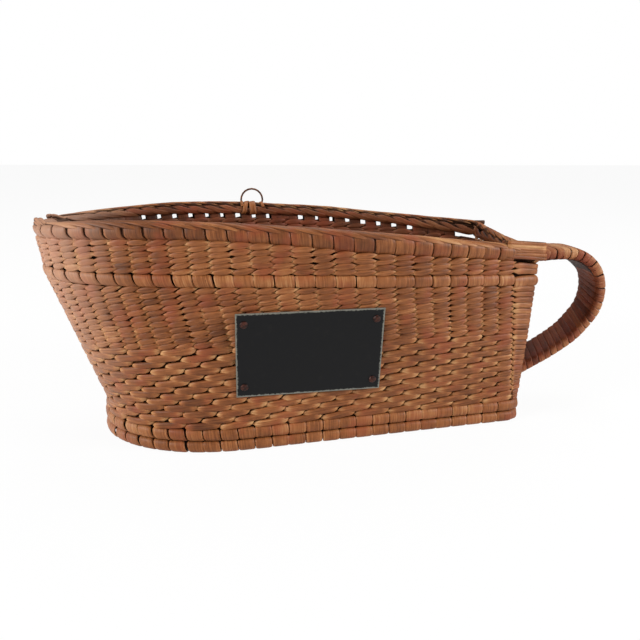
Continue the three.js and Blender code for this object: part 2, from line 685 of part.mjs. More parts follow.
// The ring stands on its lowest stretch of wire, which the lashing holds to the rim's outer face.
const ringSeatPoint = sidePoint(RING_BAY, levels.seat, RIM_BAND_BULGE, FAR);
const ringAlong = sidePoint(RING_BAY - BAY_STEP_SHARE, levels.seat, 0, FAR)
  .sub(sidePoint(RING_BAY + BAY_STEP_SHARE, levels.seat, 0, FAR)).setZ(0).normalize();
const ringOut = new THREE.Vector3(-ringAlong.y, ringAlong.x, 0);
const wireOffset = RING_CLEARANCE + RING_WIRE_RADIUS;
const wireHeight = RING_TOP_ABOVE_SEAT - 2 * RING_RADIUS - RING_WIRE_RADIUS;
const ringHinge = ringSeatPoint.clone().addScaledVector(ringOut, wireOffset);
ringHinge.z += wireHeight;
const ringUp = new THREE.Vector3(0, 0, 1);
const ringCentre = ringHinge.clone().addScaledVector(ringUp, RING_RADIUS);
const RING_STEPS = 20;
const ringPath = Array.from({ length: RING_STEPS }, (_, k) => {
  const turn = 2 * Math.PI * k / RING_STEPS;
  return ringCentre.clone()
    .addScaledVector(ringAlong, RING_RADIUS * Math.sin(turn))
    .addScaledVector(ringUp, -RING_RADIUS * Math.cos(turn));
});
addPiece('hanging_ring', rod(ringPath, RING_WIRE_RADIUS, 6, true), MATERIALS.wire);

// The lashing goes once round the whole rim, through the open row below it and over the wire.
const seatHeight = ringSeatPoint.z;
const acrossRim = RIM_BAND_BULGE + rollInner;
const rimTopHeight = RIM_BAND_HEIGHT + CLEARANCE + RIM_TOP_HEIGHT;
const overWire = wireOffset + RING_WIRE_RADIUS + RING_PLAY;
const LASHING_SLACK_SHARE = 2.2;
const lashingMiddle = new THREE.Vector2(-acrossRim / 2, rimTopHeight / 2);
const lashingLoop = [
  [CLEARANCE, -CLEARANCE],
  [overWire, wireHeight - LASHING_SLACK_SHARE * RING_WIRE_RADIUS],
  [overWire, wireHeight + LASHING_SLACK_SHARE * RING_WIRE_RADIUS],
  [CLEARANCE, rimTopHeight + CLEARANCE],
  [-acrossRim - CLEARANCE, rimTopHeight + CLEARANCE],
  [-acrossRim - CLEARANCE, -CLEARANCE],
];
function lashingPoint(out, up, end) {
  const point = ringSeatPoint.clone().addScaledVector(ringOut, out);
  point.addScaledVector(ringAlong, end * LASHING_WIDTH / 2);
  point.z = seatHeight + up;
  return point;
}
function grown([out, up]) {
  const outSign = Math.sign(out - lashingMiddle.x);
  const upSign = Math.sign(up - lashingMiddle.y);
  return [out + outSign * LASHING_THICKNESS, up + upSign * LASHING_THICKNESS];
}
const lashing = lashingLoop.map(([out, up]) => {
  const [farOut, farUp] = grown([out, up]);
  return [
    lashingPoint(out, up, -1), lashingPoint(out, up, 1),
    lashingPoint(farOut, farUp, 1), lashingPoint(farOut, farUp, -1),
  ];
});
addPiece('ring_lashing', sweep(lashing, true), MATERIALS.skein);

// The origin is the middle of the underside of the whole basket's box.
const box = new THREE.Box3().setFromObject(group);
const centre = box.getCenter(new THREE.Vector3());
group.position.set(-centre.x, -centre.y, -box.min.z);

export default group;
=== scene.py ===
"""A woven cane basket that holds a wine bottle lying down, with a loop handle at its back."""

import math

import bpy
import numpy as np
from mathutils import Matrix, Vector


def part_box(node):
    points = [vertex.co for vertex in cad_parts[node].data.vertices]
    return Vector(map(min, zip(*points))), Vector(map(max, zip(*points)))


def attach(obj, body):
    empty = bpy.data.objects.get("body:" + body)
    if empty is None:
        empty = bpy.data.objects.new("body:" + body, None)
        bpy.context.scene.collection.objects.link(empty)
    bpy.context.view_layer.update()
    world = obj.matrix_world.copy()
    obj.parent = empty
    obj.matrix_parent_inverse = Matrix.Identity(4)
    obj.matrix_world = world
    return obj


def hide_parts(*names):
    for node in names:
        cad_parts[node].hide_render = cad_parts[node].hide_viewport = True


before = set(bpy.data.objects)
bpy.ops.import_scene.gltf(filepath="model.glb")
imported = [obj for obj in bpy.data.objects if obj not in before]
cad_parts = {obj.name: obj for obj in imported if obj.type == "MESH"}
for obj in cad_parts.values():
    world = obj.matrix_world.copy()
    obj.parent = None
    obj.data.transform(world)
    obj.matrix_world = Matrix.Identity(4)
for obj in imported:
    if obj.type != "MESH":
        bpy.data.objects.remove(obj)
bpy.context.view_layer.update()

# The camera.
# It looks at the near long side from a little above the rim and from left of the middle, turned
# towards the handle, and it leans a little, as it did when the photograph was taken.
CAMERA_PLACE = Vector((-0.08573, -0.3969, 0.1838))
CAMERA_TURN = math.radians(10.34)
CAMERA_DIP = math.radians(16.69)
CAMERA_ROLL = math.radians(0.62)
CAMERA_LENS = 35.92

ahead = Vector((
    math.sin(CAMERA_TURN) * math.cos(CAMERA_DIP),
    math.cos(CAMERA_TURN) * math.cos(CAMERA_DIP),
    -math.sin(CAMERA_DIP),
))
level_right = ahead.cross(Vector((0, 0, 1))).normalized()
overhead = level_right.cross(ahead)
camera_right = level_right * math.cos(CAMERA_ROLL) + overhead * math.sin(CAMERA_ROLL)
camera_up = overhead * math.cos(CAMERA_ROLL) - level_right * math.sin(CAMERA_ROLL)
camera = bpy.data.objects.new("camera", bpy.data.cameras.new("camera"))
bpy.context.scene.collection.objects.link(camera)
camera.matrix_world = (
    Matrix.Translation(CAMERA_PLACE)
    @ Matrix((camera_right, camera_up, -ahead)).transposed().to_4x4()
)
camera.data.lens = CAMERA_LENS
bpy.context.scene.camera = camera

# Stakes and corner posts.
# The upright canes that everything is woven on: split cane, pale when cut and browned by age.
# They show in the open row below the rim, and the wall's plan and heights follow them.

# Sizes are in millimetres. A bay is the room between two stakes. Bays are counted from 0 at the near
# back corner, by 28.5 at the nose, to 57 at the far back corner.
MM = 0.001
RIM_LENGTH = 296
RIM_WIDEST = 120
RIM_HALF = 63
RIM_BACK_HALF = 44
BASE_LENGTH = 265
BASE_WIDEST = 179
BASE_HALF = 52.7
BASE_BACK_HALF = 38.8
RIM_SWELL_SHARE = 0.0675
RIM_BEND_SHARES = (0.375, 0.625)
RIM_NOSE_BEND_SHARE, RIM_NOSE_WIDTH_SHARE = 0.403, 0.857
BASE_NOSE_BEND_SHARE, BASE_NOSE_WIDTH_SHARE = 0.174, 0.655
CORNER_RADIUS = 7
CORNER_LEAST = 0.5
CORNER_SQUARENESS = 4
NOSE_BAY = 28.5
BAYS_ROUND = 66
BACK_MIDDLE = -4.5
BACK_BAYS, BACK_SHARES = (-5.5, -1.5), (-0.25, 0.75)
CORNER_TAIL = 0.5
RIM_FILLER, RIM_DRIFT = 0.65, 0.42
BASE_FILLER, BASE_DRIFT = -0.42, 0.32
FOOT_ROLL = 7.35
FOOT_TOP = 15
SEAT = (107.5, 122.8, 123.2)
BAND_BOTTOM = (92, 100, 100)
BAND_HEIGHT = 7.4
ZONE_SHARE = 0.56
ZONE_DROP_SHARE = 0.06
OPEN_ROW = 0.6
KNEE_SHARE = 0.88
NOSE_UPRIGHT_SHARE = 0.11
NOSE_BAYS = 10

wall_low, wall_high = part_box("wall_upper")
BACK_X = wall_high.x / MM
MIDDLE_Y = (wall_low.y + wall_high.y) / 2 / MM


def ramp(value, start, end):
    """0 up to the start, 1 from the end on, and even between them."""
    return np.clip((value - start) / (end - start), 0, 1)


def bezier(points, steps=120):
    """Points along one cubic stretch of an outline."""
    t = np.linspace(0, 1, steps)[:, None]
    a, b, c, d = np.array(points, float)
    return a * (1 - t) ** 3 + 3 * b * t * (1 - t) ** 2 + 3 * c * t * t * (1 - t) + d * t ** 3


def outline(stretches):
    """An outline's points, with the share of its length that each lies at."""
    points = np.concatenate(stretches)
    steps = np.linalg.norm(np.diff(points, axis=0), axis=1)
    run = np.concatenate(([0], np.cumsum(steps)))
    return run / run[-1], points


rim_outline = outline([
    bezier([
        (0, RIM_BACK_HALF),
        (-RIM_BEND_SHARES[0] * RIM_WIDEST, RIM_BACK_HALF + RIM_SWELL_SHARE * RIM_WIDEST),
        (-RIM_BEND_SHARES[1] * RIM_WIDEST, RIM_HALF), (-RIM_WIDEST, RIM_HALF),
    ]),
    bezier([
        (-RIM_WIDEST, RIM_HALF),
        (-RIM_WIDEST - RIM_NOSE_BEND_SHARE * (RIM_LENGTH - RIM_WIDEST), RIM_HALF),
        (-RIM_LENGTH, RIM_NOSE_WIDTH_SHARE * RIM_HALF), (-RIM_LENGTH, 0),
    ]),
])
base_slope = (BASE_HALF - BASE_BACK_HALF) / BASE_WIDEST
base_bend = BASE_NOSE_BEND_SHARE * BASE_LENGTH
base_outline = outline([
    bezier([(-share * BASE_WIDEST, BASE_BACK_HALF + share * BASE_WIDEST * base_slope)
            for share in (0, 1 / 3, 2 / 3, 1)]),
    bezier([
        (-BASE_WIDEST, BASE_HALF), (-BASE_WIDEST - base_bend, BASE_HALF + base_bend * base_slope),
        (-BASE_LENGTH, BASE_NOSE_WIDTH_SHARE * BASE_HALF), (-BASE_LENGTH, 0),
    ]),
])


def along_outline(line, bay, filler, drift):
    """The outline's point at a bay: the bays are even but for a filler at the corner and a drift."""
    share = (bay + filler + drift * np.sin(np.pi * bay / NOSE_BAY) ** 2) / (NOSE_BAY + filler)
    return np.stack([np.interp(share, line[0], line[1][:, axis]) for axis in (0, 1)], axis=-1)


def near_bay(bay):
    """The bay's mirror image on the near side, and which side it is on."""
    folded = np.where(bay > BACK_MIDDLE + BAYS_ROUND, bay - BAYS_ROUND, bay)
    far = folded > NOSE_BAY
    return np.where(far, 2 * NOSE_BAY - folded, folded), np.where(far, 1.0, -1.0)


def plan(bay, flare):
    """Where the wall's outer face runs in plan, and its outward direction, for the near half.

    From bay 1 on it follows the outlines. Bays 1 to 0 are the filler before the back corner, 0 to -1
    the corner's arc, and those below -1 the back.
    """
    side_bay = np.clip(bay, 1, NOSE_BAY)
    span = flare[..., None]
    step = 0.02

    def side(at):
        base = along_outline(base_outline, at, BASE_FILLER, BASE_DRIFT)
        return base + (along_outline(rim_outline, at, RIM_FILLER, RIM_DRIFT) - base) * span

    point = side(side_bay)
    along = side(np.minimum(side_bay + step, NOSE_BAY)) - side(side_bay - step)
    along = np.where((side_bay > NOSE_BAY - step)[..., None], [0.0, -1.0], along)
    along /= np.linalg.norm(along, axis=-1, keepdims=True)
    normal = np.stack([along[..., 1], -along[..., 0]], axis=-1)

    half = BASE_BACK_HALF + (RIM_BACK_HALF - BASE_BACK_HALF) * flare
    corner_end = np.stack([np.full_like(half, -CORNER_RADIUS), half], axis=-1)
    filler = np.clip(bay, 0, 1)[..., None]
    chord = corner_end + (point - corner_end) * filler
    chord_normal = np.array([0.0, 1.0]) * (1 - filler) + normal * filler
    chord_normal /= np.linalg.norm(chord_normal, axis=-1, keepdims=True)

    turn = np.clip(-bay, 0, 1) * np.pi / 2
    squareness = 2 + CORNER_SQUARENESS * flare
    spread = (np.sin(turn) ** squareness + np.abs(np.cos(turn)) ** squareness) ** (-1 / squareness)
    arc_normal = np.stack([np.sin(turn), np.cos(turn)], axis=-1) * spread[..., None]
    arc_middle = np.stack([np.full_like(half, -CORNER_RADIUS), half - CORNER_RADIUS], axis=-1)
    arc = arc_middle + CORNER_RADIUS * arc_normal

    share = np.interp(bay, BACK_BAYS, BACK_SHARES)
    tail = ramp(bay, BACK_BAYS[1], BACK_BAYS[1] + CORNER_TAIL)
    across = share * half * (1 - tail) + (half - CORNER_RADIUS) * tail
    back = np.stack([np.zeros_like(half), across], axis=-1)

    zones = [(bay >= 1), (bay >= 0), (bay >= -1)]
    point = np.select([z[..., None] for z in zones], [point, chord, arc], back)
    normal = np.select([z[..., None] for z in zones], [normal, chord_normal, arc_normal], [1.0, 0.0])
    return point, normal


def rim_share(bay):
    """How far along the rim's length a bay lies, from the back to the nose."""
    bay = np.asarray(bay, float)
    near, _ = near_bay(bay)
    return -plan(near, np.ones_like(near))[0][..., 0] / RIM_LENGTH


def rise(levels, bay):
    """A height that rises from the back to the nose along a parabola."""
    s = rim_share(bay)
    back, middle, nose = levels
    return back * (2 * s - 1) * (s - 1) + middle * 4 * s * (1 - s) + nose * s * (2 * s - 1)


def seat(bay):
    return rise(SEAT, bay)


def band_bottom(bay):
    return rise(BAND_BOTTOM, bay)


def wall(bay, height, out=0.0):
    """Points of the wall in the basket's own millimetres: bay round it, height, offset outwards."""
    bay, height, out = np.broadcast_arrays(
        np.asarray(bay, float), np.asarray(height, float), np.asarray(out, float))
    near, side = near_bay(bay)
    knee = band_bottom(bay)
    straight = NOSE_UPRIGHT_SHARE * ramp(np.abs(near - NOSE_BAY), NOSE_BAYS, 0) ** 0.5
    climb = ramp(height, FOOT_TOP, knee)
    flare = np.where(
        height <= knee,
        KNEE_SHARE * ramp(climb, straight, 1),
        KNEE_SHARE + (1 - KNEE_SHARE) * (height - knee) / (seat(bay) - knee),
    )
    point, normal = plan(near, flare)
    in_corner = (near < 0) & (near > -1)
    reach = np.where(in_corner, np.maximum(out, CORNER_LEAST - CORNER_RADIUS), out)
    plane = point + normal * reach[..., None]
    return np.stack([plane[..., 0], side * plane[..., 1], height], axis=-1)


def unit(vectors):
    return vectors / np.maximum(np.linalg.norm(vectors, axis=-1, keepdims=True), 1e-9)


def outward(bay, height):
    """The wall's outward direction, square to its slope, from places just beside, above and below."""
    beside, above = 0.05, 1.0
    around = wall(bay + beside, height) - wall(bay - beside, height)
    upward = wall(bay, height + above) - wall(bay, height - above)
    return unit(np.cross(np.broadcast_to(upward, around.shape), around))


def linear(code):
    """A written colour as the shader takes it."""
    parts = [int(code[i:i + 2], 16) / 255 for i in (1, 3, 5)]
    return [p / 12.92 if p <= 0.04045 else ((p + 0.055) / 1.055) ** 2.4 for p in parts] + [1.0]


class Field:
    """One output of a material's nodes, on which sums add the Math nodes they need."""

    def __init__(self, finish, socket):
        self.finish = finish
        self.socket = socket

    def sum(self, operation, *others):
        return self.finish.node("Math", {"operation": operation}, dict(enumerate((self, *others))))["Value"]

    def __add__(self, other):
        return self.sum("ADD", other)

    def __sub__(self, other):
        return self.sum("SUBTRACT", other)

    def __rsub__(self, other):
        return self.sum("MULTIPLY", -1) + other

    def __mul__(self, other):
        return self.sum("MULTIPLY", other)

    __radd__ = __add__
    __rmul__ = __mul__

    def least(self, other):
        return self.sum("MINIMUM", other)

    def most(self, other):
        return self.sum("MAXIMUM", other)

    def step(self, start, end):
        """0 at start, 1 at end and smooth between them."""
        return self.finish.node(
            "MapRange", {"interpolation_type": "SMOOTHSTEP"},
            {"Value": self, "From Min": start, "From Max": end})["Result"]


class Finish:
    """A material of nodes round one surface shader."""

    def __init__(self, name, **constants):
        self.material = bpy.data.materials.new(name)
        self.material.use_nodes = True
        self.tree = self.material.node_tree
        self.shader = self.tree.nodes["Principled BSDF"]
        for socket, value in constants.items():
            self.shader.inputs[socket.replace("_", " ")].default_value = value

    def node(self, kind, settings=None, inputs=None):
        """Adds a node of that type, and gives its outputs by name."""
        made = self.tree.nodes.new("ShaderNode" + kind)
        for key, value in (settings or {}).items():
            if key == "stops":
                self.fill_ramp(made.color_ramp, value)
            else:
                setattr(made, key, value)
        for key, value in (inputs or {}).items():
            self.feed(made.inputs[key], value)
        return {socket.name: Field(self, socket) for socket in made.outputs if socket.enabled}

    def fill_ramp(self, colour_ramp, stops):
        while len(colour_ramp.elements) < len(stops):
            colour_ramp.elements.new(0.5)
        for element, (place, colour) in zip(colour_ramp.elements, stops):
            element.position = place
            element.color = linear(colour)

    def feed(self, socket, value):
        if isinstance(value, Field):
            self.tree.links.new(value.socket, socket)
        else:
            socket.default_value = value

    def mix(self, factor, first, second):
        """One colour laid over another."""
        return self.node("Mix", {"data_type": "RGBA"}, {0: factor, 6: first, 7: second})["Result"]

    def noise(self, place, scale, detail=2.0, roughness=0.5):
        return self.node("TexNoise", None, {
            "Vector": place, "Scale": scale, "Detail": detail, "Roughness": roughness})["Fac"]

    def attribute(self, name, output="Fac"):
        return self.node("Attribute", {"attribute_name": name})[output]

    def paint(self, **fields):
        for socket, field in fields.items():
            self.feed(self.shader.inputs[socket.replace("_", " ")], field)

    def bump(self, height, strength, distance):
        bumped = self.node("Bump", None, {"Height": height, "Strength": strength, "Distance": distance})
        self.feed(self.shader.inputs["Normal"], bumped["Normal"])


def stretched(finish, place, scale):
    """Places drawn out along an axis, so that a noise on them becomes fibres."""
    return finish.node("VectorMath", {"operation": "MULTIPLY"}, {0: place, 1: scale})["Vector"]


ROUGHNESS_SWING, ROUGHNESS_DROP = 0.25, 0.12


def cane_finish(name, dark, middle, light, roughness):
    """Round cane with its length upright: long fibres, broad patches and a dull skin."""
    finish = Finish(name, Roughness=roughness, Specular_IOR_Level=0.35)
    place = finish.node("TexCoord")["Object"]
    fibres = finish.noise(stretched(finish, place, (1, 1, 0.06)), 2200, detail=3, roughness=0.65)
    patches = finish.noise(place, 55)
    colour = finish.node("ValToRGB", {"stops": [(0.25, dark), (0.5, middle), (0.8, light)]},
                         {0: fibres * 0.6 + patches * 0.4})["Color"]
    finish.paint(Base_Color=colour, Roughness=fibres * ROUGHNESS_SWING + (roughness - ROUGHNESS_DROP))
    finish.bump(fibres, strength=0.5, distance=0.0002)
    return finish.material


stake_finish = cane_finish("stake_cane", "#5d3a24", "#8f6242", "#b58a66", 0.6)


def dress(node, material):
    """Gives one of the frame's solids its material."""
    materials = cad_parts[node].data.materials
    materials.clear()
    materials.append(material)


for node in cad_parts:
    if node.startswith(("stake_pair", "nose_stake", "back_stake", "corner_post")):
        dress(node, stake_finish)

# Woven walls.
# Flat moist skein of cane, twined round the stakes: over two stakes each stroke in the lower wall,
# and over one stake in the middle and upper walls, where each stroke's tips lie between its neighbours.
STRAND_SECTION = 10
STRAND_SQUARENESS = 0.62
STROKE_STATIONS = 13
LOWER_ROWS = 13
MIDDLE_PITCH = 3.35
UPPER_PITCH = 3.25
STROKE_WIDTH_SHARE = 0.59
STROKE_THICKNESS = 1.0
INSIDE_THICKNESS = 0.95
TIP_THICKNESS_SHARE = 0.6
TIP_WIDTH_SHARE = 0.1
OUTER_CREST, OUTER_DIVE = -0.45, 1.6
INNER_CREST, INNER_DIVE = -5.75, 1.2
SHADE_OUT, SHADE_IN = -3.0, -3.5
SHEET_STEP = 0.25
SHEET_LEVELS = 6
# Bays from the back to the nose, and how high above the weave's edge the rim's windings end at each.
NEAR_SKIRT = ((2, 6, 10, 14, 18, 22, 25, 27, 28.5), (-1.0, -1.6, -1.3, 1.6, 2.7, 2.0, 1.2, 0.4, 0.2))
FAR_SKIRT = 2.6
SKIRT_TUCK = 0.3
BAY_WAVER, SLOPE_WAVER, LIFT_WAVER = 0.02, 0.2, 0.03
WIDTH_WAVER, SINK_WAVER, STROKE_TONE_WAVER = 0.04, 0.08, 0.025
STROKE_TONE, TIP_HIGHLIGHT_AND_WEAR_TONE = -0.03, 0.19
TIP_HIGHLIGHT_AND_WEAR_RUN = (0.45, 0.85)
BURIED_RUN, BURIED_SHADE = 0.985, 0.5
SIDE_SHADE_LOWEST, SIDE_SHADE_CLIMB, SIDE_SHADE_SOFTNESS = 0.1, 0.4, 0.6
GRAIN_SPREAD = 40
SHEEN_START, SHEEN_END = -0.12, -0.182
SHEEN_LEAST, SHEEN_FIBRES = 0.24, 0.36
STEPPED_MANNER = {"slant": 0.26, "overlap": 0.05, "point": 0.32, "blunt": 2.0, "tip_dive": 0.7,
                  "edges": (0.4, 0.45), "thickness": 1.15}
CORNER_MANNER = {"width": 0.52, "slant": 0.03, "tip_dive": 1.0}

chance = np.random.default_rng(20)


def waver(amount, total):
    """A small random difference for each of so many strands."""
    return amount * chance.normal(size=(total, 1))


def upright(rows):
    """What a list of rows holds, as one upright array for each of its columns."""
    return [np.array(column, float)[:, None] for column in zip(*rows)]


def squarer(wave, power):
    """A sine or cosine pushed towards its extremes, for a section with flat faces."""
    return np.sign(wave) * np.abs(wave) ** power


def tip_to_tip(stations):
    """Places along a strand from -1 to 1, closest together at its tips."""
    return np.sin(np.linspace(-np.pi / 2, np.pi / 2, stations))[None]


class Bundle:
    """Many closed strands gathered into one piece, with what their material needs at each point."""

    def __init__(self):
        self.points, self.grain, self.tone, self.gap = [], [], [], []
        self.quads, self.caps = [], []
        self.count = 0

    def rings(self, rings, grain, tone, gap):
        """Closes strands given as rings of points: strand, station, point round it."""
        strands, stations, around = rings.shape[:3]
        first = self.count + np.arange(strands)[:, None, None] * stations * around
        row = first + np.arange(stations)[None, :, None] * around
        here = row + np.arange(around)
        turned = row + (np.arange(around) + 1) % around
        quads = np.stack([here[:, :-1], turned[:, :-1], turned[:, 1:], here[:, 1:]], axis=-1)
        self.quads.append(quads.reshape(-1, 4))
        self.caps.append(here[:, 0, ::-1].reshape(-1, around))
        self.caps.append(here[:, -1].reshape(-1, around))
        self.points.append(rings.reshape(-1, 3))
        self.grain.append(np.broadcast_to(grain, rings.shape).reshape(-1, 3))
        self.tone.append(np.broadcast_to(tone, rings.shape[:3]).reshape(-1))
        self.gap.append(np.broadcast_to(gap, rings.shape[:3]).reshape(-1))
        self.count += strands * stations * around

    def strands(self, path, facing, half_width, half_thickness, tone, dark=0.0, edges=1.0,
                squareness=STRAND_SQUARENESS):
        """Strands along paths, flat side to their facing direction."""
        angle = np.arange(STRAND_SECTION) * 2 * np.pi / STRAND_SECTION
        flat, lift = squarer(np.cos(angle), squareness), squarer(np.sin(angle), squareness)
        along = unit(np.gradient(path, axis=1))
        across = unit(np.cross(facing, along))
        upward = np.cross(along, across)
        half_width = np.broadcast_to(half_width, path.shape[:2])
        half_thickness = np.broadcast_to(half_thickness, path.shape[:2])
        rings = (path[:, :, None]
                 + across[:, :, None] * (half_width[..., None] * flat)[..., None]
                 + upward[:, :, None] * (half_thickness[..., None] * lift)[..., None])
        steps = np.linalg.norm(np.diff(path, axis=1), axis=-1)
        run = np.concatenate([np.zeros((len(path), 1)), np.cumsum(steps, axis=1)], axis=1)
        seed = chance.random((len(path), 1, 1)) * GRAIN_SPREAD
        grain = np.stack(np.broadcast_arrays(
            run[..., None], half_width[..., None] * flat, seed), axis=-1)
        tips = np.broadcast_to(np.asarray(dark, float), path.shape[:2])[..., None]
        edges = np.broadcast_to(edges, path.shape[:2])[..., None]
        # The strand's sides are painted darker, the more so where edges is larger: painted shade where it
        # meets its neighbours.
        sides = np.clip((SIDE_SHADE_LOWEST + SIDE_SHADE_CLIMB * edges - lift) / SIDE_SHADE_SOFTNESS, 0, 1) * edges
        tone = np.asarray(tone, float)
        tone = tone.reshape(tone.shape + (1,) * (3 - tone.ndim))
        self.rings(rings, grain, tone, np.maximum(tips, sides))

    def sheet(self, first, second, gap=1.0):
        """A closed band between two loops of points, each loop by level: shape (bays, levels, 3)."""
        ring = np.concatenate([first, second[:, ::-1]], axis=1)
        bays, around = ring.shape[:2]
        start = self.count + np.arange(bays)[:, None] * around
        here = start + np.arange(around)
        turned = start + (np.arange(around) + 1) % around
        after, after_turned = np.roll(here, -1, axis=0), np.roll(turned, -1, axis=0)
        self.quads.append(np.stack([here, after, after_turned, turned], axis=-1).reshape(-1, 4))
        self.points.append(ring.reshape(-1, 3))
        total = bays * around
        self.grain.append(ring.reshape(-1, 3))
        self.tone.append(np.zeros(total))
        self.gap.append(np.full(total, gap))
        self.count += total

    def piece(self, name, material, slot, *nodes):
        """Makes the mesh and seats it in the frame."""
        points = np.concatenate(self.points) + (BACK_X, MIDDLE_Y, 0)
        mesh = bpy.data.meshes.new(name)
        faces = [np.concatenate(self.quads)] + self.caps
        corners = np.concatenate([f.ravel() for f in faces])
        sizes = np.concatenate([np.full(len(f), f.shape[1]) for f in faces])
        mesh.vertices.add(len(points))
        mesh.vertices.foreach_set("co", (points * MM).ravel())
        mesh.loops.add(len(corners))
        mesh.loops.foreach_set("vertex_index", corners.astype(np.int32))
        mesh.polygons.add(len(sizes))
        starts = np.concatenate(([0], np.cumsum(sizes)[:-1]))
        mesh.polygons.foreach_set("loop_start", starts.astype(np.int32))
        mesh.update(calc_edges=True)
        mesh.shade_smooth()
        for label, values, kind, field in (
            ("grain", self.grain, "FLOAT_VECTOR", "vector"),
            ("tone", self.tone, "FLOAT", "value"),
            ("gap", self.gap, "FLOAT", "value"),
        ):
            layer = mesh.attributes.new(label, kind, "POINT")
            layer.data.foreach_set(field, np.concatenate(values).astype(np.float32).ravel())
        mesh.materials.append(material)
        made = bpy.data.objects.new(name, mesh)
        bpy.context.scene.collection.objects.link(made)
        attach(made, "basket")
        if nodes:
            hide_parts(*nodes)


def skein_finish(name, shades, gap_colour, roughness=0.5, warmth="#8a3f26"):
    """Flat skein: fine fibres along it, a strand darker or redder than the next, painted shade in the gaps.
    """
    finish = Finish(name, Specular_IOR_Level=0.25)
    grain = finish.attribute("grain", "Vector")
    place = finish.node("TexCoord")["Object"]
    tone, gap = finish.attribute("tone"), finish.attribute("gap")
    fibres = finish.noise(stretched(finish, grain, (0.14, 4.2, 1)), 1.0, detail=3, roughness=0.65)
    streaks = finish.noise(stretched(finish, grain, (0.06, 1.3, 1)), 1.0)
    stains = finish.noise(place, 30, detail=3, roughness=0.6)
    patches = finish.noise(place, 150)
    value = fibres * 0.36 + streaks * 0.3 + stains * 0.2 + patches * 0.14 + tone
    colour = finish.node("ValToRGB", {"stops": shades}, {0: value})["Color"]
    red = finish.noise(place, 70).step(0.48, 0.7) * 0.45
    colour = finish.mix(red, colour, linear(warmth))
    # Painted sheen: towards the nose the colour is laid over with a pale one, more on the fibres.
    axes = finish.node("SeparateXYZ", None, {0: place})
    painted_sheen = axes["X"].step(SHEEN_START, SHEEN_END) * (SHEEN_LEAST + SHEEN_FIBRES * fibres)
    colour = finish.mix(painted_sheen, colour, linear("#cfa78e"))
    specks = finish.noise(place, 700).step(0.7, 0.78) * 0.6
    colour = finish.mix(specks, colour, linear(gap_colour))
    # Painted shade: where the gap attribute says, the colour darkens towards the gap colour.
    colour = finish.mix(gap * 0.9, colour, linear(gap_colour))
    finish.paint(
        Base_Color=colour,
        Roughness=fibres * ROUGHNESS_SWING + gap * ROUGHNESS_SWING + (roughness - ROUGHNESS_DROP),
    )
    finish.bump(fibres * 0.6 + streaks * 0.4, strength=0.55, distance=0.0003)
    return finish.material


skein = skein_finish(
    "skein", [(0.3, "#46230d"), (0.44, "#71401f"), (0.56, "#935a31"), (0.76, "#c89a68")], "#261006")
# A darker copy of the skein for the faces inside the basket: painted shade.
skein_painted_shade = skein_finish(
    "skein_painted_shade", [(0.3, "#30160b"), (0.44, "#4f2916"), (0.58, "#693a20"), (0.8, "#936744")], "#160905")

# Where the bays meet along the sides and round the nose, and along the back, and the two corners.
SIDE_EDGES = range(1, 57)
BACK_EDGES = range(59, 65)
CORNERS = ((-2, 1), (56, 59))
PLAIN_COLUMNS = [(a, a + 1) for a in (*SIDE_EDGES[:-1], *BACK_EDGES[:-1])]
COLUMNS = PLAIN_COLUMNS + list(CORNERS)


def rows_between(low, high, pitch, bay):
    """How many rows of that pitch a zone holds at a bay."""
    return max(1, int(np.round((high(bay) - low(bay)) / pitch)))


def twine(bundle, strokes, low, high, inside=False, thickness=STROKE_THICKNESS, width=STROKE_WIDTH_SHARE,
          slant=0.34, overlap=0.17, point=0.42, blunt=0.9, tip_dive=0.1, edges=(0.12, 0.88)):
    """Lays strokes, each (first bay, last bay, row, rows), on the outer or inner face of the wall.

    A stroke is so wide as a share of its row, slants so many rows from its middle to its tip, and laps
    so far over the next bay. It narrows over its last point bays, the more suddenly the blunter it is.
    tip_dive is the share of its dive behind the stakes that falls to the tips, and edges is the painted
    shade on its sides along its middle and what is added at its ends.
    """
    first, last, row, rows = upright(strokes)
    total = len(first)
    run = tip_to_tip(STROKE_STATIONS)
    half = (last - first) / 2 + overlap + waver(BAY_WAVER, total)
    face, dive = (1, INNER_DIVE) if inside else (-1, OUTER_DIVE)
    bay = (first + last) / 2 + face * run * half
    slope = slant * (1 + waver(SLOPE_WAVER, total))
    lift = slope * run + waver(LIFT_WAVER, total)
    bottom, top = low(bay), high(bay)
    height = bottom + (row + 0.5 + lift) / rows * (top - bottom)
    pitch = (top - bottom) / rows
    tip = ramp(np.abs(run) * half, half - point, half)
    taper = 1 - (1 - TIP_WIDTH_SHARE) * tip ** blunt
    half_width = width * pitch * taper * (1 + waver(WIDTH_WAVER, total))
    half_thickness = thickness * (TIP_THICKNESS_SHARE + (1 - TIP_THICKNESS_SHARE) * taper)
    sink = dive * ((1 - tip_dive) * run ** 2 + tip_dive * tip ** 2) + waver(SINK_WAVER, total)
    path = wall(bay, height, INNER_CREST + sink if inside else OUTER_CREST - sink)
    # The strokes are painted lighter towards their tips: painted highlight, partly wear.
    worn = ramp(np.abs(run), *TIP_HIGHLIGHT_AND_WEAR_RUN)
    tone = waver(STROKE_TONE_WAVER, total) + STROKE_TONE + TIP_HIGHLIGHT_AND_WEAR_TONE * worn
    # The strokes' very ends, where they pass under their neighbours, are painted darker: painted shade.
    buried = ramp(np.abs(run), BURIED_RUN, 1) * BURIED_SHADE
    bundle.strands(path, outward(bay, height) * -face, half_width, half_thickness, tone, buried,
                   edges[0] + edges[1] * np.abs(run) ** 3)


def plain_strokes(low, high, pitch):
    """One stroke over each stake in each row."""
    strokes = []
    for first, last in COLUMNS:
        rows = rows_between(low, high, pitch, (first + last) / 2)
        strokes += [(first, last, row, rows) for row in range(rows)]
    return strokes


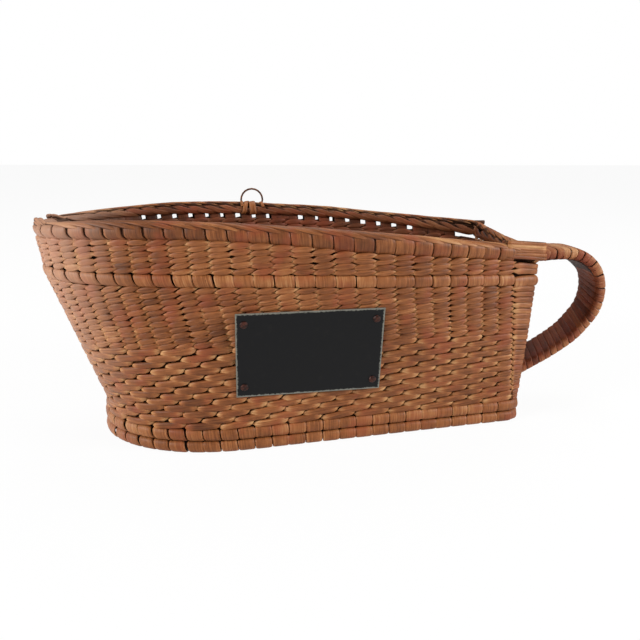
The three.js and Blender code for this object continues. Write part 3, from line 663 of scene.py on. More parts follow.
def stepped_strokes():
    """Strokes over two stakes, which start one stake further in each next row."""
    strokes = []
    for edges in (SIDE_EDGES, BACK_EDGES):
        for row in range(LOWER_ROWS):
            starts = range(-(row % 2), len(edges) - 1, 2)
            strokes += [(edges[max(k, 0)], edges[min(k + 2, len(edges) - 1)], row, LOWER_ROWS)
                        for k in starts]
    return strokes + [(first, last, row, LOWER_ROWS) for first, last in CORNERS for row in range(LOWER_ROWS)]


def bays_round(step):
    """Places all the way round the wall, from the middle of the back."""
    return np.arange(BACK_MIDDLE, BACK_MIDDLE + BAYS_ROUND, step)


def shade_sheet(bundle, low, high):
    """A dark sheet inside the weave, seen in the gaps between strokes: painted shade."""
    bay = bays_round(SHEET_STEP)[:, None]
    share = np.linspace(0, 1, SHEET_LEVELS)[None]
    height = low(bay) * (1 - share) + high(bay) * share
    bundle.sheet(wall(bay, height, SHADE_OUT), wall(bay, height, SHADE_IN))


def level(value):
    return lambda bay: np.full_like(np.asarray(bay, float), value)


def zone_top(bay):
    """Where the strokes over two stakes give way to those over one."""
    return (ZONE_SHARE - ZONE_DROP_SHARE * rim_share(bay) ** 2) * seat(bay)


def band_top(bay):
    return band_bottom(bay) + BAND_HEIGHT


def skirt(bay):
    """Where the rim's windings end, above the weave's edge. On the far side the row below them is open."""
    near, side = near_bay(bay)
    return np.where(side < 0, np.interp(near, *NEAR_SKIRT), FAR_SKIRT)


def wall_top(bay):
    _, side = near_bay(bay)
    return seat(bay) + np.where(side < 0, skirt(bay) - SKIRT_TUCK, -OPEN_ROW)


def raised(height, lift):
    return lambda bay: height(bay) + lift


def woven_wall(name, node, low, high, strokes, **manner):
    """One zone of the wall: its outer strokes, its inner strokes and a sheet of painted shade between them.
    """
    outer_bundle, inner_bundle = Bundle(), Bundle()
    corners = [s for s in strokes if (s[0], s[1]) in CORNERS]
    twine(outer_bundle, [s for s in strokes if s not in corners], low, high, **manner)
    twine(outer_bundle, corners, low, high, **CORNER_MANNER)
    shade_sheet(outer_bundle, low, high)
    twine(inner_bundle, strokes, low, high, inside=True, thickness=INSIDE_THICKNESS)
    outer_bundle.piece(name, skein, "skein", node)
    inner_bundle.piece(name + "_inside", skein_painted_shade, "skein")


middle_strokes = plain_strokes(zone_top, band_bottom, MIDDLE_PITCH)
upper_strokes = plain_strokes(band_top, wall_top, UPPER_PITCH)
woven_wall("wall_lower_weave", "wall_lower", level(FOOT_TOP), zone_top, stepped_strokes(), **STEPPED_MANNER)
woven_wall("wall_middle_weave", "wall_middle", zone_top, band_bottom, middle_strokes)
woven_wall("wall_upper_weave", "wall_upper", band_top, wall_top, upper_strokes)

# Wound bands.
# A core of canes round the wall, wound with broad skein once at each stake: two rolls at the foot and
# one band at three quarters of the height. Each winding shows as one smooth block.
WINDING_STATIONS = 13
WINDING_SECTION, CORNER_SECTION = 14, 44
PLAIN_POWERS, CORNER_POWERS = (0.3, 0.7), (0.6, 0.35)
WINDING_THICKNESS = 0.85
WINDING_HALF_TURN = np.pi * 0.46
WINDING_COVER_SHARE = 0.992
WINDING_LENGTH = 9
EDGE_THINNING_SHARE = 0.25
END_PINCH_SHARE = 0.04
BAND_BULGE = 1.3
FOOT_BULGE = 1.5
BULGE_WAVER = 0.15
BAND_SEAT, BAND_FULLNESS = -2.2, 0.55
BAND_SHADE_INSET = 0.5
BAND_ROWS_INSIDE, BAND_SLANT_INSIDE = 2, 0.1
NOSE_LEAN, LEAN_SWITCH = 0.16, 28.51
NOSE_GAP_SHARE = 0.07
LEAN_TOP, LEAN_HOOK = 0.6, 2
LEAN_BAYS = (14, 4)
GAP_BAYS = (14, 6)
BLOCK_GRAIN_WIDTH = 4.6
BLOCK_END_SHARE, BLOCK_END_SHADE = 0.88, 0.6
BLOCK_SIDE_SHADE = (0.2, -0.3)
BLOCK_TONE_WAVER, BLOCK_EDGE_TONE = 0.03, 0.06


class Block:
    """The section of a broad winding: places across it, which way they face, and the skin over them."""

    def __init__(self, points, powers):
        angle = np.arange(points) * 2 * np.pi / points
        self.flat = squarer(np.cos(angle), powers[0])
        self.lift = squarer(np.sin(angle), powers[1])
        self.skin = WINDING_THICKNESS * self.lift * (1 - EDGE_THINNING_SHARE * np.abs(self.flat) ** 8)


plain_block, corner_block = Block(WINDING_SECTION, PLAIN_POWERS), Block(CORNER_SECTION, CORNER_POWERS)


def narrowing(middle):
    """How much narrower than their bay the windings are: the gaps open round the nose."""
    return NOSE_GAP_SHARE * ramp(np.abs(middle - NOSE_BAY), *GAP_BAYS)


def leaning(middle, share):
    """How far a winding leans along the wall: round the nose each one hooks backwards like a bracket."""
    lean = NOSE_LEAN * ramp(np.abs(middle - NOSE_BAY), *LEAN_BAYS)
    hooked = LEAN_TOP - LEAN_HOOK * (1 - share) ** 2
    return lean * hooked * np.where(middle > LEAN_SWITCH, -1, 1)


def add_blocks(bundle, rings, share, length, block, shade=0.0):
    """Adds windings given as rings of points, painted darker at their ends and edges: painted shade."""
    total = len(rings)
    seed = chance.random((total, 1, 1)) * GRAIN_SPREAD
    grain = np.stack(np.broadcast_arrays(
        (share * length)[..., None], BLOCK_GRAIN_WIDTH * block.flat, seed), axis=-1)
    ends = ramp(np.abs(2 * share - 1), BLOCK_END_SHARE, 1)[..., None] * BLOCK_END_SHADE
    sides = ramp(block.lift, *BLOCK_SIDE_SHADE)
    tone = shade + waver(BLOCK_TONE_WAVER, total)[..., None] + BLOCK_EDGE_TONE * np.abs(block.flat) ** 4
    bundle.rings(rings, grain, tone, np.maximum(ends, sides))


def windings(bundle, columns, block, low, high, bulge):
    """Blocks of skein wound over a band, one for each column of the weave."""
    first, last = upright(columns)
    total = len(first)
    share = np.linspace(0, 1, WINDING_STATIONS)[None]
    turn = (2 * share - 1) * WINDING_HALF_TURN
    middle = (first + last) / 2 + waver(BAY_WAVER, total)
    centre = middle + leaning(middle, share)
    bottom, top = low(centre), high(centre)
    half_height = (top - bottom) / 2 - WINDING_THICKNESS
    height = (top + bottom) / 2 + half_height * np.sin(turn) / np.sin(WINDING_HALF_TURN)
    bulged = bulge - WINDING_THICKNESS + waver(BULGE_WAVER, total)
    out = BAND_SEAT + (bulged - BAND_SEAT) * np.cos(turn) ** BAND_FULLNESS
    pinch = 1 - END_PINCH_SHARE * np.abs(2 * share - 1) ** 6
    half = (last - first) / 2 * (WINDING_COVER_SHARE - narrowing(middle)) * pinch
    rings = wall(
        centre[..., None] + half[..., None] * block.flat,
        height[..., None] + np.sin(turn)[..., None] * block.skin,
        out[..., None] + np.cos(turn)[..., None] * block.skin,
    )
    add_blocks(bundle, rings, share, WINDING_LENGTH, block)


def wound_band(name, node, low, high, bulge):
    bundle = Bundle()
    windings(bundle, PLAIN_COLUMNS, plain_block, low, high, bulge)
    windings(bundle, CORNERS, corner_block, low, high, bulge)
    shade_sheet(bundle, raised(low, BAND_SHADE_INSET), raised(high, -BAND_SHADE_INSET))
    bundle.piece(name, skein, "wrapped_skein", node)


wound_band("foot_lower_windings", "foot_lower_roll", level(0), level(FOOT_ROLL), FOOT_BULGE)
wound_band("foot_upper_windings", "foot_upper_roll", level(FOOT_ROLL), level(FOOT_TOP), FOOT_BULGE)
wound_band("middle_band_windings", "middle_band", band_bottom, band_top, BAND_BULGE)
band_inside = Bundle()
inside_rows = [(*column, row, BAND_ROWS_INSIDE) for column in COLUMNS for row in range(BAND_ROWS_INSIDE)]
twine(band_inside, inside_rows, band_bottom, band_top, inside=True, slant=BAND_SLANT_INSIDE)
band_inside.piece("middle_band_inside", skein_painted_shade, "wrapped_skein")

# Rim.
# The stakes' ends are held between an outer and an inner band, wound together at each stake. Long
# strands are laid over the top, and end in a knob each side of the lip and bluntly at the back corners.
RIM_STATIONS = 19
RIM_MIDDLE_OUT = -2.9
RIM_MIDDLE_UP = 4.6
RIM_HALF_DEPTH = 3.7
RIM_INNER_LOW = 1.5
ROPE_REACH = 1.4
# Bays from the back to the nose, and how high the rim's top or its lift at the corner is at each.
FAR_CROWN = ((0, 6, 9, 12, 16, 19, 22, 25, 28.5), (8.7, 8.8, 9.7, 9.7, 10.3, 10.1, 8.6, 7.4, 7.3))
NEAR_CROWN = ((0, 4, 8, 12, 16, 20, 23, 26, 28.5), (8.7, 8.9, 9.8, 10.7, 11.6, 11.9, 11.2, 9.2, 7.3))
FAR_LIFT = ((-4.5, -1, 0, 2, 7), (0, 3, 4, 2.5, 0))
LIP_BAYS = 1.9
LIP_TUCK, LIP_TUCK_BAYS = 1.5, 3
LIP_CROWN = 0.3
RIM_WOUND, LIP_WOUND = (-80, 62), (-80, 235)
RIM_WINDING_LENGTH = 14
RIM_COVER_SHARE = 0.97
RIM_LEAN_RATE = 1.6
# Bays from the back to the nose, and how much lighter or darker the near rim is at each.
RIM_SHADE = ((2, 6, 10, 20, 25, 28.5), (-0.02, -0.03, -0.1, -0.11, -0.08, -0.06))
NEAR_LEG_SHARE, FAR_LEG_SHARE = 0.95, 0.66
OPEN_ROW_BELOW, OPEN_ROW_ABOVE = (-0.6, 0.2), (3.6, 2.7)
CORNER_WINDINGS = ((-2, -1.05), (-1.05, -0.3), (57.3, 58.05), (58.05, 59))
CORE_SINK, CORE_SINK_BAYS = 3.5, (1.9, 1.3)
CORE_INSET, CORE_SHADE = 0.4, 0.9
CORE_LEVELS = 9
CORE_TOP_TURNS, CORE_LOW_TURNS = (-35, 170), (190, 305)


def rim_section(bay, turn, reach=0.0, crown=0.0):
    """Places on the rim's rounded section: turn 0 faces out, 90 degrees up and 180 degrees in."""
    near, side = near_bay(bay)
    outer = ramp(np.cos(turn), -1 / 3, 1 / 3)
    lift = np.where(side < 0, 0.0, np.interp(near, *FAR_LIFT))
    top = np.where(side < 0, np.interp(near, *NEAR_CROWN), np.interp(near, *FAR_CROWN))
    upper_half = top - RIM_MIDDLE_UP - ROPE_REACH + crown + lift
    lower_half = RIM_INNER_LOW + (RIM_MIDDLE_UP - skirt(bay) - RIM_INNER_LOW) * outer
    half = np.where(np.sin(turn) > 0, upper_half, lower_half)
    tuck = LIP_TUCK * ramp(np.abs(near - NOSE_BAY), LIP_TUCK_BAYS, 0)
    out = RIM_MIDDLE_OUT - tuck + (RIM_HALF_DEPTH + reach) * np.cos(turn)
    up = RIM_MIDDLE_UP + (half + reach) * np.sin(turn)
    return wall(bay, seat(bay) + up, out), up


def rim_facing(bay, turn):
    return unit(rim_section(bay, turn, 1.0)[0] - rim_section(bay, turn)[0])


def rim_shade(bay):
    """The near rim is darker along its middle than at its ends."""
    near, side = near_bay(bay)
    return np.where(side < 0, np.interp(near, *RIM_SHADE), RIM_SHADE[1][-1])


def leg_cover(middle):
    """The share of its bay that a winding covers where it passes the open row."""
    return np.where(middle < NOSE_BAY, NEAR_LEG_SHARE, FAR_LEG_SHARE)


def rim_windings(bundle, columns, turns, crown=0.0):
    """Blocks of skein wound round the rim's section, pinched where they pass the open row."""
    first, last = upright(columns)
    share = np.linspace(0, 1, RIM_STATIONS)[None]
    turn = np.radians(turns[0] + (turns[1] - turns[0]) * share)
    middle = (first + last) / 2 + waver(BAY_WAVER, len(first))
    centre = middle + leaning(middle, np.clip(share * RIM_LEAN_RATE, 0, 1))
    _, up = rim_section(centre, turn)
    open_row = ramp(up, *OPEN_ROW_BELOW) * ramp(up, *OPEN_ROW_ABOVE)
    pinched = (RIM_COVER_SHARE - leg_cover(middle)) * open_row
    half = (last - first) / 2 * (RIM_COVER_SHARE - narrowing(middle) - pinched)
    bay = centre[..., None] + half[..., None] * plain_block.flat
    rings, _ = rim_section(bay, np.broadcast_to(turn[..., None], bay.shape), plain_block.skin, crown)
    add_blocks(bundle, rings, share, RIM_WINDING_LENGTH, plain_block, rim_shade(middle)[..., None])


def rim_core(bundle):
    """The canes inside the rim, sunk at the back corners, where the long strands cover them."""
    bay = bays_round(SHEET_STEP)[:, None]
    turns = [np.linspace(*ends, CORE_LEVELS) for ends in (CORE_TOP_TURNS, CORE_LOW_TURNS)]
    turn = np.broadcast_to(np.radians(np.concatenate(turns)), (len(bay), 2 * CORE_LEVELS))
    sunk = CORE_SINK * ramp(np.abs(near_bay(bay)[0]), *CORE_SINK_BAYS)
    ring, _ = rim_section(bay, turn, -CORE_INSET, -sunk)
    # The core is painted nearly as dark as the gaps: painted shade.
    bundle.sheet(ring[:, :CORE_LEVELS], ring[:, CORE_LEVELS:][:, ::-1], CORE_SHADE)


LEG_STATIONS = 6
LEG_TOP, LEG_BOTTOM = 4.0, -1.3
LEG_OUT, LEG_IN = -1.5, -5.3
LEG_THICKNESS = 0.6
LEG_SPREAD_SHARE, LEG_WAVER, LEG_TONE_WAVER = 0.07, 0.04, 0.04
LEG_TONE = -0.04
LEG_SHADE_RATE, LEG_SHADE_START = 1.4, 0.9
CLOSED_GAPS = (29, 30, 31, 32, 33, 34, 35, 45, 54, 55)


def rim_legs(bundle, out, side):
    """The windings' straight stretch past the open row, over each stake and over a few closed gaps."""
    middle = np.array([(a + b) / 2 for a, b in PLAIN_COLUMNS] + list(CLOSED_GAPS))[:, None]
    cover = leg_cover(middle) * (1 + LEG_SPREAD_SHARE * chance.random(middle.shape))
    middle = middle + waver(LEG_WAVER, len(middle))
    share = np.linspace(0, 1, LEG_STATIONS)[None]
    height = seat(middle) + LEG_TOP + (LEG_BOTTOM - LEG_TOP) * share
    bay = np.broadcast_to(middle, height.shape)
    bay_length = np.linalg.norm(wall(middle + 0.5, height) - wall(middle - 0.5, height), axis=-1)
    # The legs are painted darker towards their bottoms, where they pass behind the weave's edge: painted
    # shade.
    leg_shade = np.broadcast_to(np.clip(LEG_SHADE_RATE * share - LEG_SHADE_START, 0, 1), height.shape)
    tone = waver(LEG_TONE_WAVER, len(middle)) + LEG_TONE
    bundle.strands(wall(bay, height, out), outward(bay, height) * side, bay_length * cover / 2,
                   LEG_THICKNESS, tone, leg_shade)


ROPE_SPAN, INNER_SPAN = 3.6, 2.2
ROPE_TURNS, INNER_TURNS = (125, 28), (240, 140)
ROPE_WIDTH, INNER_WIDTH = 1.45, 1.75
ROPE_THICKNESS, ROPE_SEAT_SHARE = 0.85, 0.4
ROPE_LIFT, INNER_LIFT = 0.3, 0.2
ROPE_OVERHANG = 0.6
ROPE_TIP_RUN = 0.6
ROPE_TIP_DIVE = 0.9
TURN_WAVER = 3
LAID_TONE_WAVER, LAID_TIP_HIGHLIGHT, LAID_TIP_SHADE = 0.04, 0.05, 0.6
FAR_TONE = 0.06
SLIT_RUN, SLIT_LENGTH = -0.72, 0.17
SLIT_DEPTH, SLIT_PINCH_SHARE = 0.3, 0.15
BACK_CLEAR_BAYS = 3


def laid_strands(bundle, middles, span, turns, width, lift, slit=0.0):
    """Strands laid along the rim, turning from one face of it to another as they go."""
    middles = np.asarray(middles, float)[:, None]
    total = len(middles)
    run = tip_to_tip(RIM_STATIONS)
    bay = middles - run * span / 2
    share = (run + 1) / 2
    turn = np.radians(turns[0] + (turns[1] - turns[0]) * share + waver(TURN_WAVER, total))
    tip = ramp(np.abs(run), ROPE_TIP_RUN, 1)
    taper = 1 - (1 - TIP_WIDTH_SHARE) * tip ** 1.2
    far = (middles > NOSE_BAY) & (middles < BACK_MIDDLE + BAYS_ROUND - BACK_CLEAR_BAYS)
    # A slit pinches the strand and also paints it darker there: painted shade.
    slits = slit * np.exp(-((run - SLIT_RUN) / SLIT_LENGTH) ** 4) * far
    reach = lift + ROPE_THICKNESS * ROPE_SEAT_SHARE - ROPE_TIP_DIVE * tip ** 2
    reach = reach + waver(SINK_WAVER, total) - SLIT_DEPTH * slits
    path, _ = rim_section(bay, turn, reach)
    # The strands are painted lighter towards their tips: painted highlight.
    tone = waver(LAID_TONE_WAVER, total) + LAID_TIP_HIGHLIGHT * tip + FAR_TONE * far
    tone = tone + rim_shade(middles) - RIM_SHADE[1][-1]
    # Their very ends, where they dive under the others, are painted darker: painted shade.
    bundle.strands(path, rim_facing(bay, turn), width * taper * (1 - SLIT_PINCH_SHARE * slits),
                   ROPE_THICKNESS * (1 + taper) / 2, tone, np.maximum(tip ** 4 * LAID_TIP_SHADE, slits))


KNOB_STATIONS = 18
KNOB_START = 22.6
# How far out each strand lies, how far it drops below the top, and the bay where it ends.
KNOB_STRANDS = ((-4.1, 0.1, 27.05), (-2.2, 0.0, 27.15), (-3.1, 1.9, 27.1), (-1.3, 1.7, 27.0))
NEAR_KNOB, FAR_KNOB = (6.4, 3.3), (5.0, 3.0)
KNOB_BEND = (1.0, 0.25)
KNOB_HALF = 1.35
KNOB_SQUARENESS = 0.85
END_TONE_WAVER, KNOB_TONE_WAVER, END_TONE = 0.05, 0.04, 0.03
CUT_DIRT = 0.35


def knob(bundle, side):
    """The top strands' ends beside the lip: they rise together and are cut square."""
    foot, climb = NEAR_KNOB if side < 0 else FAR_KNOB
    along = 1 - (1 - np.linspace(0, 1, KNOB_STATIONS)) ** 1.5
    for out, drop, end in KNOB_STRANDS:
        bay = KNOB_START + (end - KNOB_START) * along
        up = foot + climb * ramp(bay, end - KNOB_BEND[0], end - KNOB_BEND[1]) ** 1.3 - drop
        bay = bay if side < 0 else 2 * NOSE_BAY - bay
        path = wall(bay, seat(bay) + up, out)[None]
        facing = np.broadcast_to([0.0, 0.0, 1.0], path.shape)
        cut = (np.arange(KNOB_STATIONS) == KNOB_STATIONS - 1)[None]
        bundle.strands(path, facing, KNOB_HALF, KNOB_HALF, waver(KNOB_TONE_WAVER, 1) + END_TONE,
                       cut * CUT_DIRT, squareness=KNOB_SQUARENESS)


CORNER_STATIONS = 12
CORNER_ROOT = 1.6
# How high above the weave's edge each strand ends, and how far past the corner.
CORNER_STRANDS = ((0.0, 3.5), (1.6, 3.6), (3.2, 3.4), (4.8, 3.7), (6.4, 3.5), (8.2, 3.6))
CORNER_INSETS = (0.0, 2.2)
CORNER_FLARE = 0.9
NEAR_END_SHORTER, FAR_END_SHORTER = 1.4, 1.3
NEAR_END_UP, FAR_END_LIFT_SHARE = 1.5, 4 / 11
FIRST_FAR_STRAND = 3
INSET_SHORTER, END_WAVER, BOW, UP_WAVER = 0.2, 0.4, 0.5, 0.3
END_HALF_WIDTH, END_HALF_THICKNESS = 1.15, 1.2


def corner_end(bundle, side):
    """The side's long strands, which run straight past the back corner and are cut off square."""
    near = side < 0
    root = wall(CORNER_ROOT if near else 2 * NOSE_BAY - CORNER_ROOT, seat(CORNER_ROOT))
    share = np.linspace(0, 1, CORNER_STATIONS)[:, None]
    strands = CORNER_STRANDS if near else CORNER_STRANDS[FIRST_FAR_STRAND:]
    shorter = NEAR_END_SHORTER if near else FAR_END_SHORTER
    for inset in CORNER_INSETS:
        for up, beyond in strands:
            beyond = beyond - INSET_SHORTER * inset + END_WAVER * chance.normal() - shorter
            end = np.array([beyond, side * (RIM_BACK_HALF + CORNER_FLARE), seat(0.0)])
            path = root + (end - root) * share
            path[:, 1] -= side * (inset + BOW * chance.random() * np.sin(3 * share[:, 0]))
            path[:, 2] += up + (NEAR_END_UP if near else FAR_END_LIFT_SHARE * up * share[:, 0])
            path[:, 2] += UP_WAVER * chance.normal() * share[:, 0] ** 2
            facing = np.broadcast_to([0.0, float(side), 0.0], path.shape)
            bundle.strands(path[None], facing[None], END_HALF_WIDTH, END_HALF_THICKNESS,
                           waver(END_TONE_WAVER, 1) + END_TONE)


outer_rim, inner_rim, rope = Bundle(), Bundle(), Bundle()
beside_lip = [c for c in PLAIN_COLUMNS if abs((c[0] + c[1]) / 2 - NOSE_BAY) > LIP_BAYS]
at_lip = [c for c in PLAIN_COLUMNS if c not in beside_lip]
rim_windings(outer_rim, beside_lip, RIM_WOUND)
rim_windings(outer_rim, CORNER_WINDINGS, RIM_WOUND)
rim_windings(outer_rim, at_lip, LIP_WOUND, LIP_CROWN)
rim_legs(outer_rim, LEG_OUT, 1)
rim_core(outer_rim)
outer_rim.piece("rim_band_windings", skein, "wrapped_skein", "rim_band")

rope_clear = LIP_BAYS + ROPE_SPAN / 2 - ROPE_OVERHANG
rope_middles = [m for m in bays_round(1) + 0.5 if abs(m - NOSE_BAY) > rope_clear]
laid_strands(rope, rope_middles, ROPE_SPAN, ROPE_TURNS, ROPE_WIDTH, ROPE_LIFT, slit=1.0)
for side in (-1, 1):
    knob(rope, side)
    corner_end(rope, side)
rope.piece("rim_rope", skein, "skein", "rim_top_roll")

laid_strands(inner_rim, rope_middles, INNER_SPAN, INNER_TURNS, INNER_WIDTH, INNER_LIFT)
rim_legs(inner_rim, LEG_IN, -1)
inner_rim.piece("rim_inner_roll", skein_painted_shade, "skein", "rim_inner_band")

# Floor.
# Strands of skein, woven lengthwise over and under the cross sticks, and tucked in between the two
# rolls of the foot. A thin dark sheet of painted shade fills the gaps between them.
FLOOR_TOP, FLOOR_BOTTOM = 8.4, 5.4
FLOOR_PITCH = 4.0
FLOOR_ROWS = 12
FLOOR_INSET = 4.4
FLOOR_OVERLAP_SHARE = 1.04
FLOOR_SLANT = 0.6
FLOOR_WIDTH, FLOOR_THICKNESS = 2.1, 0.8
FLOOR_TIP_RUN, FLOOR_TIP_WIDTH_SHARE = 0.75, 0.15
FIRST_STICK = 1.5
FLOOR_SHEET_IN, FLOOR_SHEET_HALF, FLOOR_SHEET_STEP = -3.5, 0.25, 0.5
FLOOR_SHEET_MIDDLE_SHARE = -0.45
FLOOR_SHEET_SHARES = np.array((1, 0.66, 0.33, 0.004))


def inside_half(x):
    """Half the floor's width at a place along it, inside the wall."""
    return np.interp(-x, -base_outline[1][:, 0], base_outline[1][:, 1]) - FLOOR_INSET


floor_weave = Bundle()
stick_x = along_outline(base_outline, np.arange(FIRST_STICK, NOSE_BAY), BASE_FILLER, BASE_DRIFT)[:, 0]
inner_sticks = stick_x[stick_x > -BASE_LENGTH + 2 * FLOOR_INSET]
stick_x = np.concatenate(([-FLOOR_INSET], inner_sticks, [-BASE_LENGTH + FLOOR_INSET]))
spans = []
for row in range(-FLOOR_ROWS, FLOOR_ROWS + 1):
    across = row * FLOOR_PITCH
    for k in range(-(row % 2), len(stick_x) - 1, 2):
        start, end = stick_x[max(k, 0)], stick_x[min(k + 2, len(stick_x) - 1)]
        middle_room = inside_half((start + end) / 2) - abs(across)
        end_room = inside_half(end) - abs(across)
        if middle_room > 0 and end_room > -FLOOR_PITCH:
            spans.append((start, end, across))
start, end, across = upright(spans)
run = tip_to_tip(STROKE_STATIONS)
along = (start + end) / 2 + run * (end - start) / 2 * FLOOR_OVERLAP_SHARE
tip = ramp(np.abs(run), FLOOR_TIP_RUN, 1)
taper = 1 - (1 - FLOOR_TIP_WIDTH_SHARE) * tip ** 2
for face, crest in ((1, FLOOR_TOP - FLOOR_THICKNESS), (-1, FLOOR_BOTTOM + FLOOR_THICKNESS)):
    height = crest - face * np.abs(run) ** 3
    path = np.stack(np.broadcast_arrays(along, across + FLOOR_SLANT * run, height), axis=-1)
    facing = np.broadcast_to([0.0, 0.0, float(face)], path.shape)
    # The strands are painted lighter towards their tips, a painted highlight, and darker at their very ends,
    # where they dive under: painted shade.
    tone = waver(LAID_TONE_WAVER, len(along)) + LAID_TIP_HIGHLIGHT * tip
    floor_weave.strands(path, facing, FLOOR_WIDTH * taper, FLOOR_THICKNESS * (1 + taper) / 2, tone,
                        tip ** 4 * LAID_TIP_SHADE)
sheet_edge = wall(bays_round(FLOOR_SHEET_STEP), FOOT_TOP / 2, FLOOR_SHEET_IN)[:, None]
sheet_middle = np.array([FLOOR_SHEET_MIDDLE_SHARE * BASE_LENGTH, 0, 0])
spread = sheet_middle + (sheet_edge - sheet_middle) * FLOOR_SHEET_SHARES[None, :, None]
spread[..., 2] = (FLOOR_TOP + FLOOR_BOTTOM) / 2
floor_weave.sheet(spread + (0, 0, FLOOR_SHEET_HALF), spread - (0, 0, FLOOR_SHEET_HALF))
floor_weave.piece("floor_weave", skein_painted_shade, "skein", "base_panel")

# Handle.
# A flat strap of bent cane from the foot of the back wall round to the rim, wound edge over edge with
# broad skein. The turns touch and lie a little askew, and they are painted paler on the strap's outer
# face and darker on its inner face: painted light and shade.
HANDLE_REACH = 67.25
HANDLE_FOOT = 19.5
HANDLE_RISE = 84.7
HANDLE_HALF_WIDTH = 12.0
HANDLE_HALF_THICKNESS = 3.7
HANDLE_TURNS = 34
HANDLE_SKEW = 7.0
HANDLE_BARE = 1.0
# Shares of the handle's reach and rise, from the rim round to the foot.
HANDLE_SHARES = [
    (0, 1.0), (0.3, 1.005), (0.53, 1.012), (0.69, 1.0), (0.83, 0.945), (0.94, 0.845), (0.99, 0.7),
    (0.96, 0.545), (0.855, 0.42), (0.735, 0.32), (0.5, 0.195), (0.335, 0.125), (0.17, 0.058), (0, 0),
]
TURN_STATIONS = 40
TURN_POWERS = (0.42, 0.5)
TURN_THICKNESS, TURN_SQUARENESS = 0.55, 0.5
TURN_EDGE_FACING = 0.8
TURN_DRIFT, TURN_TONE_WAVER = 0.22, 0.05
HANDLE_FACE_LIGHT_AND_SHADE, HANDLE_TONE = 0.105, -0.025
SLOPE_REACH = 1.5


def smooth_line(points, steps=24):
    """A curve through the points, drawn evenly where they lie close and far apart alike."""
    points = np.array(points, float)
    padded = np.concatenate(([2 * points[0] - points[1]], points, [2 * points[-1] - points[-2]]))
    line = []
    for a, b, c, d in zip(padded, padded[1:], padded[2:], padded[3:]):
        knots = np.cumsum([0] + [math.dist(p, q) ** 0.5 for p, q in ((a, b), (b, c), (c, d))])
        t = np.linspace(knots[1], knots[2], steps, endpoint=False)[:, None]

        def between(p, q, start, end):
            return p + (q - p) * (t - knots[start]) / (knots[end] - knots[start])

        ab, bc, cd = between(a, b, 0, 1), between(b, c, 1, 2), between(c, d, 2, 3)
        line.append(between(between(ab, bc, 0, 2), between(bc, cd, 1, 3), 1, 2))
    line.append(points[-1:])
    return np.concatenate(line)


handle_line = smooth_line([(x * HANDLE_REACH, HANDLE_FOOT + z * HANDLE_RISE) for x, z in HANDLE_SHARES])
handle_run = np.concatenate(([0], np.cumsum(np.linalg.norm(np.diff(handle_line, axis=0), axis=1))))


def handle_point(distance):
    """The strap's middle line and its outward direction."""

    def at(run):
        return np.stack([np.interp(run, handle_run, handle_line[:, k]) for k in (0, 1)], axis=-1)

    way = unit(at(distance + SLOPE_REACH) - at(distance - SLOPE_REACH))
    return at(distance), np.stack([-way[..., 1], way[..., 0]], axis=-1)


turns = np.arange(HANDLE_TURNS * TURN_STATIONS + 1) / TURN_STATIONS


def turn_to_turn(amount):
    """A small random difference for each turn, which passes evenly into the next one's."""
    return np.interp(turns, np.arange(HANDLE_TURNS + 1), amount * chance.normal(size=HANDLE_TURNS + 1))


handle_wrap = Bundle()
pitch = (handle_run[-1] - 2 * HANDLE_BARE - HANDLE_SKEW) / HANDLE_TURNS
side = squarer(np.cos(turns * 2 * np.pi), TURN_POWERS[0])
face = squarer(np.sin(turns * 2 * np.pi), TURN_POWERS[1])
place, out_way = handle_point(
    HANDLE_BARE + HANDLE_SKEW / 2 + pitch * turns + HANDLE_SKEW / 2 * side + turn_to_turn(TURN_DRIFT))
centre = place + (HANDLE_HALF_THICKNESS * face)[:, None] * out_way
path = np.stack([centre[:, 0], -HANDLE_HALF_WIDTH * side, centre[:, 1]], axis=-1)
sideways = -TURN_EDGE_FACING * side * (1 - np.abs(face))
facing = unit(np.stack([out_way[:, 0] * face, sideways, out_way[:, 1] * face], axis=-1))
# The turns are painted lighter on the strap's outer face and darker on its inner face: painted light and
# shade.
tone = turn_to_turn(TURN_TONE_WAVER) + HANDLE_FACE_LIGHT_AND_SHADE * face + HANDLE_TONE
handle_wrap.strands(path[None], facing[None], pitch / 2, TURN_THICKNESS, tone[None],
                    squareness=TURN_SQUARENESS)
handle_skein = skein_finish(
    "handle_skein", [(0.3, "#54260f"), (0.44, "#7d3f22"), (0.58, "#96613a"), (0.76, "#bd9168")],
    "#1c0c06", roughness=0.6, warmth="#7a3320")
handle_wrap.piece("handle_windings", handle_skein, "handle_skein", "handle_wrap")
# The core is painted almost black, so that it shows as painted shade between the turns.
dress("handle_core", cane_finish("handle_cane", "#25110a", "#3a1d10", "#56301c", 0.7))

# Plate.
# A bare plate of thin enamelled metal, riveted through the weave with four copper rivets. The enamel
# is worn off along its edge, and the rivets are tarnished.
EDGE_WEAR = (0.0011, 0.0005)
EDGE_RAGGEDNESS = 0.0022
enamel = Finish("enamel", Specular_IOR_Level=0.2)
low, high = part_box("name_plate")
place = enamel.node("TexCoord")["Object"]
axes = enamel.node("SeparateXYZ", None, {0: place})
edge = (axes["X"] - low.x).least(high.x - axes["X"]).least(axes["Z"] - low.z).least(high.z - axes["Z"])
scuff = enamel.noise(place, 900, detail=3, roughness=0.65)
worn = (edge + (scuff - 0.5) * EDGE_RAGGEDNESS).step(*EDGE_WEAR)
dust = enamel.noise(place, 260, detail=4).step(0.55, 0.8) * 0.3
colour = enamel.mix(dust, linear("#08080a"), linear("#1b1917"))
enamel.paint(
    Base_Color=enamel.mix(worn, colour, linear("#7c7b72")),
    Metallic=worn * 0.5,
    Roughness=worn * 0.2 + scuff * 0.25 + 0.22,
)
enamel.bump(scuff * 0.3 - worn, strength=0.3, distance=0.0002)
dress("name_plate", enamel.material)


